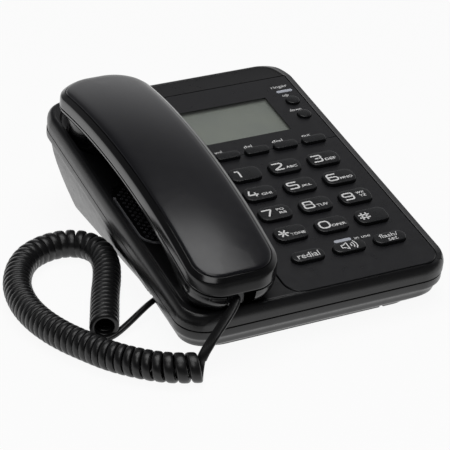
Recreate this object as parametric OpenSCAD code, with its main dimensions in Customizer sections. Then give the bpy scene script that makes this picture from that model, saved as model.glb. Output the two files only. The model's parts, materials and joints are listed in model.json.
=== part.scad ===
// Desk telephone: a wedge-shaped case with a push-button face and a display,
// a handset that lies in a cradle, and the curly cord between the two.
// The case is drawn in the frame of its sloping face: X to the right, Y to the
// rear and Z square to the face, with Z = 0 on top of the face plate.

/* [Case] */
// Width of the case
case_w = 144; // [142:1:152]
// Length of the case along its face
case_d = 198; // [197:1:206]
// Corner radius of the case seen from above
case_r = 15; // [12:0.5:18]
// Radius of the upper edge all round
case_edge = 4.5; // [3.5:0.25:5.5]
// Thickness of the moulded case walls
wall = 2.5; // [2.2:0.1:2.8]
// Height of the upper case above the parting line
upper_h = 7.5; // [7:0.25:9]
// Height of the straight tray under the parting line
tray_h = 7; // [6:0.5:8]
// Inward step of the tray at the parting line
tray_step = 0.6; // [0.3:0.1:1.2]

/* [Stand] */
// Slope of the face
tilt = 9.7; // [8:0.1:11]
// Height of the middle of the face above the floor
face_h = 41; // [40:0.5:46]
// Width of the stand at its base
stand_w = 117; // [112:1:122]
// Distance of the stand's front edge from the middle
stand_front = 87; // [85:0.5:89]
// Distance of the stand's rear edge from the middle
stand_rear = 93; // [90:0.5:95]
// Corner radius of the stand at its base
stand_r = 13; // [8:0.5:20]
// Outward lean of the stand's front and sides
stand_lean = 20.8; // [16:0.2:22]
// Outward lean of the stand's rear
rear_lean = 8; // [5:0.5:9]
// Diameter of a rubber foot
foot_d = 12; // [9:0.5:15]
// Height of a foot under the stand
foot_proud = 0.8; // [0.7:0.1:1.5]
// Depth of a foot's seat in the stand
foot_seat = 1; // [0.6:0.1:1.4]
// Distance of a foot's centre from the stand's edges
foot_in = 13; // [11:0.5:18]

/* [Face plate] */
// Width of the face plate
plate_w = 85; // [84:0.5:86]
// Length of the face plate with the display panel
plate_d = 182; // [180:0.5:183]
// Gap between the plate's right edge and the case's side
plate_side = 2.7; // [2.5:0.1:3.5]
// Gap between the plate's front edge and the case's front
plate_front = 3; // [2.5:0.1:4]
// Thickness of the face plate
plate_t = 2.4; // [2:0.1:2.6]
// Height of the plate above the deck of the case
plate_rise = 1.2; // [0.8:0.1:1.5]
// Radius of the plate's front corners
plate_r = 10; // [6:0.5:12]
// Radius of the plate's upper edge
plate_edge = 0.8; // [0.4:0.1:1]
// Length of the display panel at the rear of the plate
panel_d = 65.4; // [64:0.2:67]

/* [Display] */
// Width of the display window
window_w = 60; // [56:0.5:61]
// Length of the display window
window_d = 33; // [31:0.5:34]
// Gap between the window and the plate's right edge
window_side = 20.7; // [20.2:0.1:23]
// Gap between the window and the plate's rear edge
window_rear = 18.2; // [17.5:0.1:19.5]
// Depth of the clear lens under the panel's top
lens_drop = 0.8; // [0.5:0.1:1]
// Thickness of the clear lens
lens_t = 1.2; // [0.8:0.1:1.3]
// Lip of the lens beyond the window
lens_lip = 1; // [0.8:0.1:1.4]
// Rim of the liquid crystal module beyond the window
lcd_rim = 3; // [2:0.25:3.5]

/* [Keys] */
// Sideways spacing of the number keys
key_pitch_x = 23; // [21.5:0.25:24]
// Lengthways spacing of the number keys
key_pitch_y = 18.1; // [16.5:0.1:18.5]
// Gap between the right key column's centre and the plate's right edge
key_side = 18; // [16.5:0.25:19]
// Gap between the first key row's centre and the display panel
key_row = 18.7; // [17:0.1:19]
// Width of a number key
key_w = 17.3; // [15:0.1:18]
// Length of a number key
key_d = 11; // [9:0.1:11.5]
// Corner radius of a number key
key_r = 4; // [2:0.1:4.5]
// Height of the number keys above the plate
key_rise = 2; // [1.4:0.1:2.6]
// Distance from the last number row to the function keys
function_row = 19.6; // [18:0.1:20]
// Width of a function key
function_w = 17.6; // [15:0.1:18]
// Length of a function key
function_d = 8; // [6.5:0.1:8.4]
// Spacing of the four soft keys under the display
soft_pitch = 16.9; // [16:0.1:17.2]
// Gap between the right soft key's centre and the plate's right edge
soft_side = 14.4; // [13.5:0.1:16]
// Width of a soft key
soft_w = 13.5; // [11:0.1:13.6]
// Length of a soft key
soft_d = 5.5; // [4.5:0.1:6]
// Height of the soft keys and ringer buttons above the plate
soft_rise = 1.4; // [0.8:0.1:1.8]
// Diameter of a ringer button
ringer_d = 9.5; // [8:0.1:9.8]
// Gap between the ringer buttons' centre and the plate's right edge
ringer_side = 7.7; // [7.6:0.1:8.5]
// Distance of the upper ringer button from the plate's rear edge
ringer_rear = 25.6; // [24:0.2:27]
// Spacing of the two ringer buttons
ringer_pitch = 14.5; // [13:0.1:16]
// Travel of a key
key_travel = 1.2; // [0.8:0.1:1.2]
// Running gap round a key
key_gap = 0.3; // [0.2:0.05:0.4]
// Thickness of a key's retaining flange
flange_t = 1; // [0.7:0.1:1.1]
// Width of the flange beyond the key
flange_lip = 1; // [0.7:0.1:1.2]
// Diameter of the pusher under a key
pusher_d = 4; // [3:0.1:4.4]
// Length of the pusher under a key
pusher_h = 1.3; // [1:0.1:1.6]

/* [Lights] */
// Length of a light bar
light_w = 9.7; // [8:0.1:10.5]
// Width of a light bar
light_d = 2.3; // [1.8:0.1:2.5]
// Height of a light bar above the plate
light_rise = 0.3; // [0.1:0.05:0.6]
// Distance of the ringer light from the plate's rear edge
ringer_light_rear = 15.6; // [15:0.1:16.5]
// Distance from the last number row to the in-use light
use_light_row = 12.7; // [11.5:0.1:12.9]

/* [Inside] */
// Thickness of the silicone key mat
mat_t = 1.2; // [0.8:0.1:1.6]
// Wall of the mat's collar round a pusher
collar_t = 0.8; // [0.6:0.1:1]
// Gap between a pusher and its collar
collar_gap = 0.4; // [0.3:0.05:0.5]
// Thickness of the circuit board
board_t = 1.6; // [1.2:0.1:2]
// Diameter of a screw boss
boss_d = 8; // [7:0.25:9]
// Length of a boss below the parting line
boss_drop = 7; // [6:0.25:8]
// Diameter of the case screws' thread
screw_d = 2.6; // [2.2:0.1:3]
// Length of the case screws' thread
screw_l = 11; // [9:0.5:12]
// Diameter of the case screws' head
head_d = 5.6; // [5:0.1:6.2]
// Height of the case screws' head
head_h = 2; // [1.6:0.1:2.4]

/* [Cradle] */
// Distance of the handset's centre line from the case's left side
cradle_in = 28; // [27.5:0.25:29]
// Width of the dished cradle
dish_w = 46; // [45.5:0.25:47]
// Length of the dished cradle
dish_d = 188; // [186:0.5:189]
// Corner radius of the dished cradle
dish_r = 14; // [11:0.5:17]
// Depth of the dish under the deck
dish_depth = 3.5; // [3:0.1:4]
// Gap between the handset and the wells that it lies in
well_gap = 0.9; // [0.8:0.1:1.2]
// Gap under the handset where it rests
rest_gap = 0.3; // [0.25:0.05:0.4]
// Width of the loudspeaker grille
grille_w = 42; // [40:0.5:43]
// Length of the loudspeaker grille
grille_d = 56; // [52:0.5:60]
// Corner radius of the loudspeaker grille
grille_r = 12; // [9:0.5:15]
// Lengthways place of the grille's centre
grille_y = -5; // [-8:0.5:0]
// Height of the grille's raised rib
rib_h = 0.8; // [0.5:0.1:1.2]
// Width of the grille's raised rib
rib_w = 1.5; // [1.1:0.1:2]
// Diameter of a grille hole
grille_hole = 1.6; // [1.2:0.1:2]
// Sideways spacing of the grille holes
grille_pitch = 5.6; // [5:0.1:7]
// Diameter of the hook plunger
plunger_d = 8; // [6:0.25:9]
// Rise of the hook plunger when the handset is lifted
plunger_rise = 4; // [3:0.25:4.5]
// Running gap round the hook plunger
plunger_gap = 0.3; // [0.2:0.05:0.4]

/* [Handset] */
// Rear end of the handset
handset_rear = 94.5; // [92:0.5:96]
// Front end of the handset
handset_nose = 100; // [99:0.5:102]
// Width of the handset at its ear end
ear_w = 50; // [48:0.5:52]
// Width of the handset at its mouth end
nose_w = 47; // [46:0.5:49]
// Corner radius at the ear end
ear_corner = 20; // [17:0.5:22]
// Corner radius at the mouth end
nose_corner = 16; // [13.5:0.5:18]
// Radius of the handset's arch
arch_r = 390; // [360:5:430]
// Height of the handset's parting line at the top of the arch
arch_z = 21.4; // [20.5:0.1:22.5]
// Lengthways place of the top of the arch
arch_y = -11; // [-16:0.5:-6]
// Height of the handset's cover above its parting line
cover_h = 8.1; // [7.8:0.1:9]
// Thickness of the handset's walls
shell = 2.2; // [1.8:0.1:2.4]
// Width of the cover's rounded border round the top plate
border = 3; // [2.6:0.1:3.6]
// Thickness of the glossy top plate
inlay_t = 1; // [0.7:0.1:1.2]
// Gap round the glossy top plate
inlay_gap = 0.15; // [0.1:0.05:0.3]
// Crown of the glossy top plate
inlay_crown = 0.9; // [0.4:0.1:1.2]
// Depth of the grip under the parting line
grip_depth = 6.5; // [6:0.1:7.5]
// Parting gap between cover and body
parting_gap = 0.15; // [0.1:0.05:0.25]
// Radius of the round ear cup
cup_r = 22; // [21:0.25:22.5]
// Distance of the ear cup's centre from the handset's rear end
cup_in = 25.5; // [24.5:0.1:27]
// Depth of the ear cup under the face
cup_depth = 8; // [7:0.25:8.5]
// Rounding of the ear cup's lower edge
cup_edge = 4; // [3:0.25:5]
// Extra depth of the handset's body towards its mouth end
mouth_swell = 8.5; // [7:0.25:10]
// Undercut of the body's front end
nose_draft = 1.2; // [1:0.05:1.5]

/* [Sockets] */
// Width of the small modular plugs
plug_w = 7.6; // [7.4:0.1:7.8]
// Height of the small modular plugs
plug_h = 6.4; // [6:0.1:6.6]
// Length of the small modular plugs
plug_l = 11.5; // [11:0.1:12.5]
// Gap between a plug and its socket
plug_gap = 0.2; // [0.15:0.05:0.3]
// Wall of a socket block
socket_wall = 1.6; // [1.4:0.1:1.8]
// Gap round a socket block in its housing
socket_gap = 0.2; // [0.1:0.05:0.3]
// Width of the line socket's opening
line_w = 9.8; // [9.5:0.1:10.2]
// Height of the line socket's opening
line_h = 7; // [6.6:0.1:7.4]
// Depth of the line socket
line_l = 13; // [12:0.25:14]
// Sideways place of the line socket
line_x = 20; // [10:1:40]
// Height of the line socket's centre above the floor
line_z = 17; // [14:0.5:20]
// Lengthways place of the cord socket on the left side
cord_y = -43.5; // [-45:0.5:-42]

/* [Cord] */
// Outer diameter of the curly cord's coil
coil_d = 15; // [13:0.5:16]
// Thickness of the cord
cord_d = 3; // [2.6:0.1:3.2]
// Number of curls
curls = 61; // [50:1:62]
// Extra spacing of the curls at the coil's loose end
loose_end = 0.4; // [0:0.05:0.5]
// Extra spacing of the curls in the coil's tight bend
loose_bend = 0.4; // [0.3:0.05:0.6]

/* [Hidden] */
$fn = 64;
over = 0.1;
sheet = 0.01;
rest = 0.05;

deck = -plate_rise;
parting = deck - upper_h;
tray_low = parting - tray_h;
mid_y = 0.6;

plate_right = case_w / 2 - plate_side;
plate_left = plate_right - plate_w;
plate_x = plate_right - plate_w / 2;
plate_fore = -case_d / 2 + plate_front;
plate_back = plate_fore + plate_d;
panel_y = plate_back - panel_d;
seat_gap = 0.2;
seam = 0.1;

window_x = plate_right - window_side - window_w / 2;
window_y = plate_back - window_rear - window_d / 2;
rebate_w = window_w + 2 * lens_lip;
rebate_d = window_d + 2 * lens_lip;
lcd_w = window_w + 2 * lcd_rim;
lcd_d = window_d + 2 * lcd_rim;

flange_z = -plate_t - key_gap;
pusher_z = flange_z - flange_t - pusher_h;
mat_z = pusher_z - key_travel - key_gap;
board_z = mat_z - mat_t;

key_x = plate_right - key_side;
key_y = panel_y - key_row;
last_y = key_y - 3 * key_pitch_y;
function_y = last_y - function_row;
soft_x = plate_right - soft_side;
ringer_x = plate_right - ringer_side;
ringer_y = plate_back - ringer_rear;
use_light_x = key_x - key_pitch_x;
use_light_y = last_y - use_light_row;
ringer_light_y = plate_back - ringer_light_rear;
soft_flat = 0.5;
key_edge = 0.8;
pusher_margin = 0.5;
mat_margin = 0.5;
window_margin = 2.5;

function number_key(name, column, row) =
    [name, key_x - (2 - column) * key_pitch_x, key_y - row * key_pitch_y, key_w, key_d, key_r, key_rise];
function function_key(name, column) =
    [name, key_x - (2 - column) * key_pitch_x, function_y,
     function_w, function_d, function_d / 2 - seam, key_rise];
function soft_key(name, place) =
    [name, soft_x - (3 - place) * soft_pitch, panel_y, soft_w, soft_d, soft_d / 2 - soft_flat, soft_rise];
function ringer_key(name, place) =
    [name, ringer_x, ringer_y - place * ringer_pitch, ringer_d, ringer_d, ringer_d / 2, soft_rise];
KEYS = [
    number_key("key_1", 0, 0), number_key("key_2", 1, 0), number_key("key_3", 2, 0),
    number_key("key_4", 0, 1), number_key("key_5", 1, 1), number_key("key_6", 2, 1),
    number_key("key_7", 0, 2), number_key("key_8", 1, 2), number_key("key_9", 2, 2),
    number_key("key_star", 0, 3), number_key("key_0", 1, 3), number_key("key_hash", 2, 3),
    function_key("redial_key", 0), function_key("speaker_key", 1), function_key("flash_key", 2),
    soft_key("volume_key", 0), soft_key("delete_key", 1), soft_key("dial_key", 2), soft_key("out_key", 3),
    ringer_key("ringer_up_button", 0), ringer_key("ringer_down_button", 1)
];

cradle_x = cradle_in - case_w / 2;
dish_z = deck - dish_depth;
cup_y = handset_rear - cup_in;
well_z = -cup_depth - rest_gap;
plunger_in = 10;
plunger_y = cup_y - plunger_in;

// Height of the handset's parting line, and depth of its body under that line
function arch(y) = arch_z - arch_r + sqrt(arch_r * arch_r - (y - arch_y) * (y - arch_y));
mouth_depth = plate_rise + dish_depth - rest_gap;
swell_run = 56;
swell_power = 2.2;
function depth(y) = y > arch_y ? grip_depth
    : min(grip_depth + mouth_swell * pow((arch_y - y) / swell_run, swell_power), arch(y) + mouth_depth);

stand_over = 8;
stand_top = face_h + stand_over;
foot_x = stand_w / 2 - foot_in;
foot_chamfer = 0.6;
FEET = [for (x = [-foot_x, foot_x], y = [-stand_front + foot_in, stand_rear - foot_in]) [x, y]];
boss_side = 22;
boss_fore = 37;
boss_aft = 57;
front_boss_in = 13;
front_boss_side = 45.3;
rear_boss_in = 10;
rear_boss_side = 63.3;
BOSSES = [[-case_w / 2 + boss_side, -case_d / 2 + boss_fore],
          [plate_right - front_boss_side, plate_fore + front_boss_in],
          [-case_w / 2 + boss_side, case_d / 2 - boss_aft],
          [plate_right - rear_boss_side, plate_back - rear_boss_in]];
bore_gap = 0.4;
boss_low = parting - boss_drop;
post_seat = 4;
post_wall = 1.5;
head_z = boss_low - post_seat;
post_d = head_d + 2 * (bore_gap + post_wall);
thread_in = screw_l - post_seat;
thread_free = 1;
board_clear = 1;
cross_w = 0.8;
cross_depth = 1;
cross_reach = 0.6;

ledge = 1.5;
board_post_d = 5;
post_clear = 3;
post_left = 8;
post_right = 56;
POST_X = [plate_left + post_left, plate_left + post_right];
POST_Y = [function_y - function_d / 2 - post_clear - board_post_d / 2,
          window_y + lcd_d / 2 + post_clear + board_post_d / 2];
POSTS = [for (y = POST_Y, x = POST_X) [x, y]];
speaker_d = 36;
speaker_rim = 2;
speaker_basket = 6;
speaker_h = 13;
basket_r = 0.75;
magnet_r = 0.66;
plunger_flange = 1.2;
plunger_lip = 1.5;
plunger_chamfer = 0.5;
plunger_stem = 2;
plunger_low = well_z - wall - plunger_gap - plunger_rise - plunger_flange - plunger_stem;
switch_clear = 4;
switch_arm = 2.5;
switch_d = 8;
switch_h = 6;
mic_x = 39;
mic_slot = 2.5;
mic_d = 9.6;
mic_l = 5;

plug_out = 2;
plug_contact = 4;
plug_notch = 1.2;
latch_t = 0.7;
latch_in = 0.5;
block_half = plug_h / 2 + plug_gap + socket_wall;
cord_z = foot_proud + wall + block_half + socket_gap + rest;
jack_in = 4.5;
jack_side = -2.5;
jack_clear = 0.3;
jack_z = arch(jack_in - handset_nose) - block_half - jack_clear;
slot_left = jack_side - plug_w / 2 - plug_gap - socket_wall - socket_gap;
slot_right = 7.1;
slot_l = jack_in + plug_l + socket_wall + socket_gap;

corner_steps = 7;
side_steps = 12;
// The cover's outer round, as parts of the border and of the cover's height
COVER_CURVE = [[0.1, 0.5], [0.33, 0.78], [0.66, 0.95], [0.92, 1]];
// The body's outer round, as parts of the round's width and of the body's depth
BODY_CURVE = [[0.07, 0.35], [0.3, 0.7], [0.67, 0.94], [1, 1]];
body_round = 7.5;
// The inlay's crown, as places in from its edge and parts of the crown
INLAY_CURVE = [[0.5, 0], [6, 0.7], [10, 1]];
inlay_seam = 0.1;
inner_in = 0.8;
inner_drop = 1.8;
inner_floor = 4.5;
inner_part = 0.45;
HANDSET_SCREWS = [-34, 34];
handset_boss = 6;
handset_screw = 2.4;
handset_screw_l = 8;
handset_head = 4.6;
handset_head_h = 1.2;
handset_cross = 0.6;
receiver_clear = 2;
receiver_h = 5;
magnet_h = 9;
sound_hole = 2;
sound_ring = 6;
mic_in = 28;
handset_mic_y = mic_in - handset_nose;
shelf_up = 4.8;
shelf_t = 2;
boss_clear = 1.2;
weight_w = 16;
weight_l = 30;
weight_h = 5;

// Points that the cord follows on the floor, and its straight leads
coil_lift = 0.2;
loose_run = 40;
bend_place = 92;
bend_run = 40;
COIL_ROUTE = [
    [-98.5, -58, 0], [-92.5, -43.5, 0], [-86, -28, 0], [-79, -12.5, 0], [-74, 1, 0], [-72, 14, 0],
    [-75, 24.5, 0], [-82, 30.5, 0], [-90, 32, 0], [-99, 30, 0], [-108, 24.5, 0], [-116, 14.5, 0],
    [-122.5, 0, 0], [-125.5, -15.5, 0], [-125.5, -30.5, 0], [-123, -45, 0], [-118.5, -58.5, 0],
    [-113, -70, 0], [-106.5, -82, 0], [-99, -92, 0], [-90, -101, 0], [-81, -107, 0], [-70.5, -111.3, 0]
];
base_exit = [-stand_w / 2 - tan(stand_lean) * cord_z - plug_out, cord_y, cord_z];
base_out = [-1, 0, 0];
BASE_ROUTE = [[-71, -45.5, 7.2], [-76, -49.5, 4.8], [-81, -53.5, 3], [-86, -57.3, 2.1], [-90, -60, 1.8]];
handset_exit = [cradle_x + jack_side,
                mid_y + cos(tilt) * (jack_in - plug_out - handset_nose) - sin(tilt) * jack_z,
                face_h + sin(tilt) * (jack_in - plug_out - handset_nose) + cos(tilt) * jack_z];
handset_out = [0, -cos(tilt), -sin(tilt)];
HANDSET_ROUTE = [[-48, -101.5, 29.3], [-50.2, -102.7, 27.2], [-53, -104.3, 24], [-55.5, -105.4, 21.3],
                 [-58.3, -106.2, 18.5], [-61.5, -106.6, 15.6]];

// Shared shapes

module rounded(w, d, r) {
    square([w - 2 * r, d], center = true);
    square([w, d - 2 * r], center = true);
    for (x = [-1, 1], y = [-1, 1])
        translate([x * (w / 2 - r), y * (d / 2 - r)]) circle(r);
}

// A rectangle of width w and height h that stands on the X axis, with round upper corners
module round_top(w, h, e) {
    translate([-w / 2, 0]) square([w, h - e]);
    translate([-w / 2 + e, 0]) square([w - 2 * e, h]);
    for (x = [-1, 1]) translate([x * (w / 2 - e), h - e]) intersection() {
        circle(e);
        translate([-e, 0]) square([2 * e, e]);
    }
}

// A slab with round corners in plan and a round upper edge
module edge_slab(w, d, r, h, e) {
    rotate([90, 0, 0]) linear_extrude(d - 2 * r, center = true) round_top(w, h, e);
    rotate([90, 0, 90]) linear_extrude(w - 2 * r, center = true) round_top(d, h, e);
    for (x = [-1, 1], y = [-1, 1])
        translate([x * (w / 2 - r), y * (d / 2 - r), 0])
            rotate_extrude() intersection() {
                round_top(2 * r, h, e);
                square([r, h]);
            }
}

// A hollow with a round lower edge, open at the top of height z
module pocket(w, d, r, z, depth, e) {
    translate([0, 0, z + over]) mirror([0, 0, 1]) edge_slab(w, d, r, depth + over, e);
}

// From the frame of the sloping face to the frame of the floor
module tilted() {
    translate([0, mid_y, face_h]) rotate([tilt, 0, 0]) children();
}

// Case

module stand_solid(inset) {
    side = tan(stand_lean) * stand_top;
    back = tan(rear_lean) * stand_top;
    low_d = stand_front + stand_rear - 2 * inset;
    high_d = low_d + side + back;
    hull() {
        translate([0, (stand_rear - stand_front) / 2, 0])
            linear_extrude(sheet) rounded(stand_w - 2 * inset, low_d, stand_r - inset, $fn = 32);
        translate([0, (stand_rear + back - stand_front - side) / 2, stand_top])
            linear_extrude(sheet)
                rounded(stand_w + 2 * side - 2 * inset, high_d, stand_r - inset, $fn = 32);
    }
}

module tray_outline(inset) {
    rounded(case_w - 2 * (tray_step + inset), case_d - 2 * (tray_step + inset), case_r - tray_step - inset);
}

// The tray and the stand as one solid, set in all round
module lower_solid(inset, top) {
    stand_depth = 2 * stand_top;
    tilted() translate([0, 0, tray_low + inset]) linear_extrude(top - tray_low - inset) tray_outline(inset);
    intersection() {
        stand_solid(inset);
        tilted() translate([0, 0, tray_low + inset - stand_depth])
            linear_extrude(stand_depth + over) tray_outline(inset);
        translate([-case_w, -case_d, foot_proud + inset]) cube([2 * case_w, 2 * case_d, stand_depth]);
    }
}

module lower_case() {
    color("#1b1b1d") difference() {
        union() {
            difference() {
                lower_solid(0, parting);
                lower_solid(wall, parting + over);
            }
            intersection() {
                lower_solid(0, parting);
                tilted() for (b = BOSSES)
                    translate([b[0], b[1], boss_low - 2 * stand_top])
                        cylinder(d = post_d, h = 2 * stand_top);
            }
        }
        tilted() for (b = BOSSES) translate([b[0], b[1], 0]) {
            translate([0, 0, head_z - 2 * stand_top])
                cylinder(d = head_d + 2 * bore_gap, h = 2 * stand_top);
            translate([0, 0, head_z - over])
                cylinder(d = screw_d + 2 * bore_gap, h = boss_low - head_z + 2 * over);
        }
        for (f = FEET) translate([f[0], f[1], 0]) cylinder(d = foot_d + seam, h = foot_proud + foot_seat);
        line_place() socket_hole(line_w, line_h);
        cord_place() socket_hole(plug_w + 2 * plug_gap, plug_h + 2 * plug_gap);
        translate([mic_x, -stand_front, foot_proud])
            cube([mic_slot, 4 * wall, 2 * mic_slot], center = true);
    }
}

module upper_case() {
    color("#1d1d1f") tilted() difference() {
        union() {
            difference() {
                translate([0, 0, parting]) edge_slab(case_w, case_d, case_r, upper_h, case_edge);
                translate([0, 0, parting - over])
                    edge_slab(case_w - 2 * wall, case_d - 2 * wall, case_r - wall, upper_h - wall + over,
                              case_edge - wall);
            }
            intersection() {
                cradle_space(wall, 0);
                union() {
                    translate([0, 0, parting]) edge_slab(case_w, case_d, case_r, upper_h, case_edge);
                    translate([0, 0, parting - upper_h])
                        linear_extrude(upper_h + over) tray_outline(wall + seat_gap);
                }
            }
            for (b = BOSSES) translate([b[0], b[1], boss_low])
                cylinder(d = boss_d, h = -plate_t - over - boss_low);
            for (p = POSTS) translate([p[0], p[1], board_z])
                cylinder(d = board_post_d, h = -plate_t - over - board_z);
        }
        cradle_space(0, over);
        translate([plate_x, (plate_fore + plate_back) / 2, -plate_t])
            linear_extrude(2 * plate_t) plate_outline(seat_gap);
        deck_windows();
        for (b = BOSSES) translate([b[0], b[1], boss_low - over])
            cylinder(d = screw_d + seam, h = thread_in + thread_free + over);
        translate([cradle_x, plunger_y, well_z - 2 * wall])
            cylinder(d = plunger_d + 2 * plunger_gap, h = 4 * wall);
        translate([cradle_x, grille_y, dish_z - 2 * wall])
            linear_extrude(4 * wall) rounded(grille_w, grille_d, grille_r);
    }
}

// The dish with its round ear well, grown by a wall for its underside
module cradle_space(grow, lift) {
    translate([cradle_x, 0, 0]) {
        pocket(dish_w + 2 * grow, dish_d + 2 * grow, dish_r + grow, deck - over + lift,
               dish_depth + grow - over + lift, dish_depth - over + grow / 2);
        translate([0, cup_y, well_z - grow])
            cylinder(r = cup_r + well_gap + grow, h = deck - well_z + grow + lift);
    }
}

module deck_windows() {
    low = -plate_t - wall;
    fore = function_y - function_d / 2 - window_margin;
    aft = panel_y + soft_d / 2 + window_margin;
    translate([plate_left + ledge, fore, low]) cube([plate_w - 2 * ledge, aft - fore, 2 * wall]);
    translate([window_x, window_y, 0])
        cube([lcd_w + 2 * seat_gap, lcd_d + 2 * seat_gap, -2 * low], center = true);
    ringer_half = ringer_d / 2 + flange_lip + key_gap;
    ringer_low = ringer_y - ringer_pitch - ringer_half;
    translate([ringer_x - ringer_half, ringer_low, low])
        cube([plate_right - ledge - ringer_x + ringer_half,
              ringer_light_y + light_d - ringer_low, 2 * wall]);
}

module rubber_feet() {
    color("#303032") for (f = FEET) translate([f[0], f[1], 0]) {
        translate([0, 0, foot_chamfer]) cylinder(d = foot_d, h = foot_proud + foot_seat - foot_chamfer);
        cylinder(d1 = foot_d - 2 * foot_chamfer, d2 = foot_d, h = foot_chamfer);
    }
}

module case_screws() {
    color("silver") tilted() for (b = BOSSES) translate([b[0], b[1], head_z]) {
        cylinder(d = screw_d, h = screw_l);
        translate([0, 0, -head_h]) difference() {
            cylinder(d = head_d, h = head_h);
            for (a = [0, 90]) rotate(a)
                cube([head_d * cross_reach, cross_w, 2 * cross_depth], center = true);
        }
    }
}

// Face

module plate_outline(grow) {
    rounded(plate_w + 2 * grow, plate_d + 2 * grow, plate_r);
    translate([0, plate_d / 4]) square([plate_w + 2 * grow, plate_d / 2 + 2 * grow], center = true);
}

// The whole face between two lengthways limits, with its rounded upper edge
module plate_between(fore, aft) {
    long = 2 * case_d;
    intersection() {
        translate([plate_x, plate_fore + long / 2, -plate_t])
            edge_slab(plate_w, long, plate_r, plate_t, plate_edge);
        translate([-case_w, fore, -case_d]) cube([2 * case_w, aft - fore, 2 * case_d]);
    }
}

module key_holes() {
    for (k = KEYS) translate([k[1], k[2], -2 * plate_t])
        linear_extrude(4 * plate_t) rounded(k[3] + 2 * key_gap, k[4] + 2 * key_gap, k[5] + key_gap - sheet);
}

module light_bar(x, y, grow) {
    translate([x, y, board_z]) linear_extrude(light_rise - board_z)
        rounded(light_w + 2 * grow, light_d + 2 * grow, light_d / 2 + grow - sheet);
}

module face_plate() {
    color("#18181a") tilted() difference() {
        plate_between(plate_fore, panel_y - seam / 2);
        key_holes();
        light_bar(use_light_x, use_light_y, seam);
    }
}

module display_panel() {
    color("#161618") tilted() difference() {
        plate_between(panel_y + seam / 2, plate_back);
        key_holes();
        light_bar(ringer_x, ringer_light_y, seam);
        translate([window_x, window_y, 0]) {
            cube([window_w, window_d, 3 * plate_t], center = true);
            translate([0, 0, -plate_t - lens_drop]) cube([rebate_w, rebate_d, 2 * plate_t], center = true);
        }
    }
}

module display_lens() {
    color("#9aa69c") tilted() translate([window_x, window_y, -lens_drop - lens_t / 2])
        cube([rebate_w - 2 * seam, rebate_d - 2 * seam, lens_t], center = true);
}

module lcd_module() {
    top = -plate_t - seam;
    color("#8a948a") tilted() translate([window_x - lcd_w / 2, window_y - lcd_d / 2, board_z])
        cube([lcd_w, lcd_d, top - board_z]);
}

module ringer_light() {
    color("#f2f2f0") tilted() light_bar(ringer_x, ringer_light_y, 0);
}

module in_use_light() {
    color("#f2f2f0") tilted() light_bar(use_light_x, use_light_y, 0);
}

module key(k) {
    pusher = min(pusher_d, k[4] - 2 * pusher_margin);
    edge = min(key_edge, k[6] / 2);
    color("#1f1f21") tilted() translate([k[1], k[2], 0]) {
        if (k[3] == k[4])
            translate([0, 0, flange_z]) rotate_extrude() intersection() {
                round_top(k[3], k[6] - flange_z, edge);
                square([k[3], k[6] - flange_z]);
            }
        else
            translate([0, 0, flange_z]) edge_slab(k[3], k[4], k[5], k[6] - flange_z, edge);
        translate([0, 0, flange_z - flange_t])
            linear_extrude(flange_t)
                rounded(k[3] + 2 * flange_lip, k[4] + 2 * flange_lip, k[5] + flange_lip - sheet);
        translate([0, 0, pusher_z]) cylinder(d = pusher, h = pusher_h + over);
    }
}

// Inside the case

module key_mat() {
    left = min(key_x - 2 * key_pitch_x - key_w / 2, soft_x - 3 * soft_pitch - soft_w / 2);
    right = key_x + key_w / 2;
    fore = function_y - function_d / 2;
    aft = panel_y + soft_d / 2;
    strip = ringer_d + 2 * mat_margin;
    color("#3a3a3c") tilted() difference() {
        union() {
            translate([left, fore, board_z]) cube([right - left, aft - fore, mat_t]);
            translate([ringer_x - strip / 2, fore, board_z])
                cube([strip, ringer_y + strip / 2 - fore, mat_t]);
            for (k = KEYS) translate([k[1], k[2], board_z])
                cylinder(d = pusher_d + 2 * (collar_gap + collar_t),
                         h = flange_z - flange_t - key_travel - key_gap - board_z);
        }
        for (k = KEYS) translate([k[1], k[2], mat_z])
            cylinder(d = pusher_d + 2 * collar_gap, h = 2 * pusher_h + key_travel);
        light_bar(use_light_x, use_light_y, key_gap);
    }
}

module main_board() {
    fore = POSTS[0][1] - board_post_d / 2;
    aft = POSTS[2][1] + board_post_d / 2;
    color("#1f5a36") tilted() difference() {
        translate([plate_left + 2 * ledge, fore, board_z - board_t])
            cube([plate_w - 4 * ledge, aft - fore, board_t]);
        for (b = BOSSES) translate([b[0], b[1], board_z - 2 * board_t])
            cylinder(d = boss_d + 2 * board_clear, h = 4 * board_t);
    }
}

module loudspeaker() {
    top = dish_z - wall;
    r = speaker_d / 2;
    color("#6a6a6e") tilted() translate([cradle_x, grille_y, top]) mirror([0, 0, 1]) rotate_extrude()
        polygon([[0, 0], [r, 0], [r, speaker_rim], [r * basket_r, speaker_basket],
                 [r * magnet_r, speaker_basket], [r * magnet_r, speaker_h], [0, speaker_h]]);
}

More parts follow.
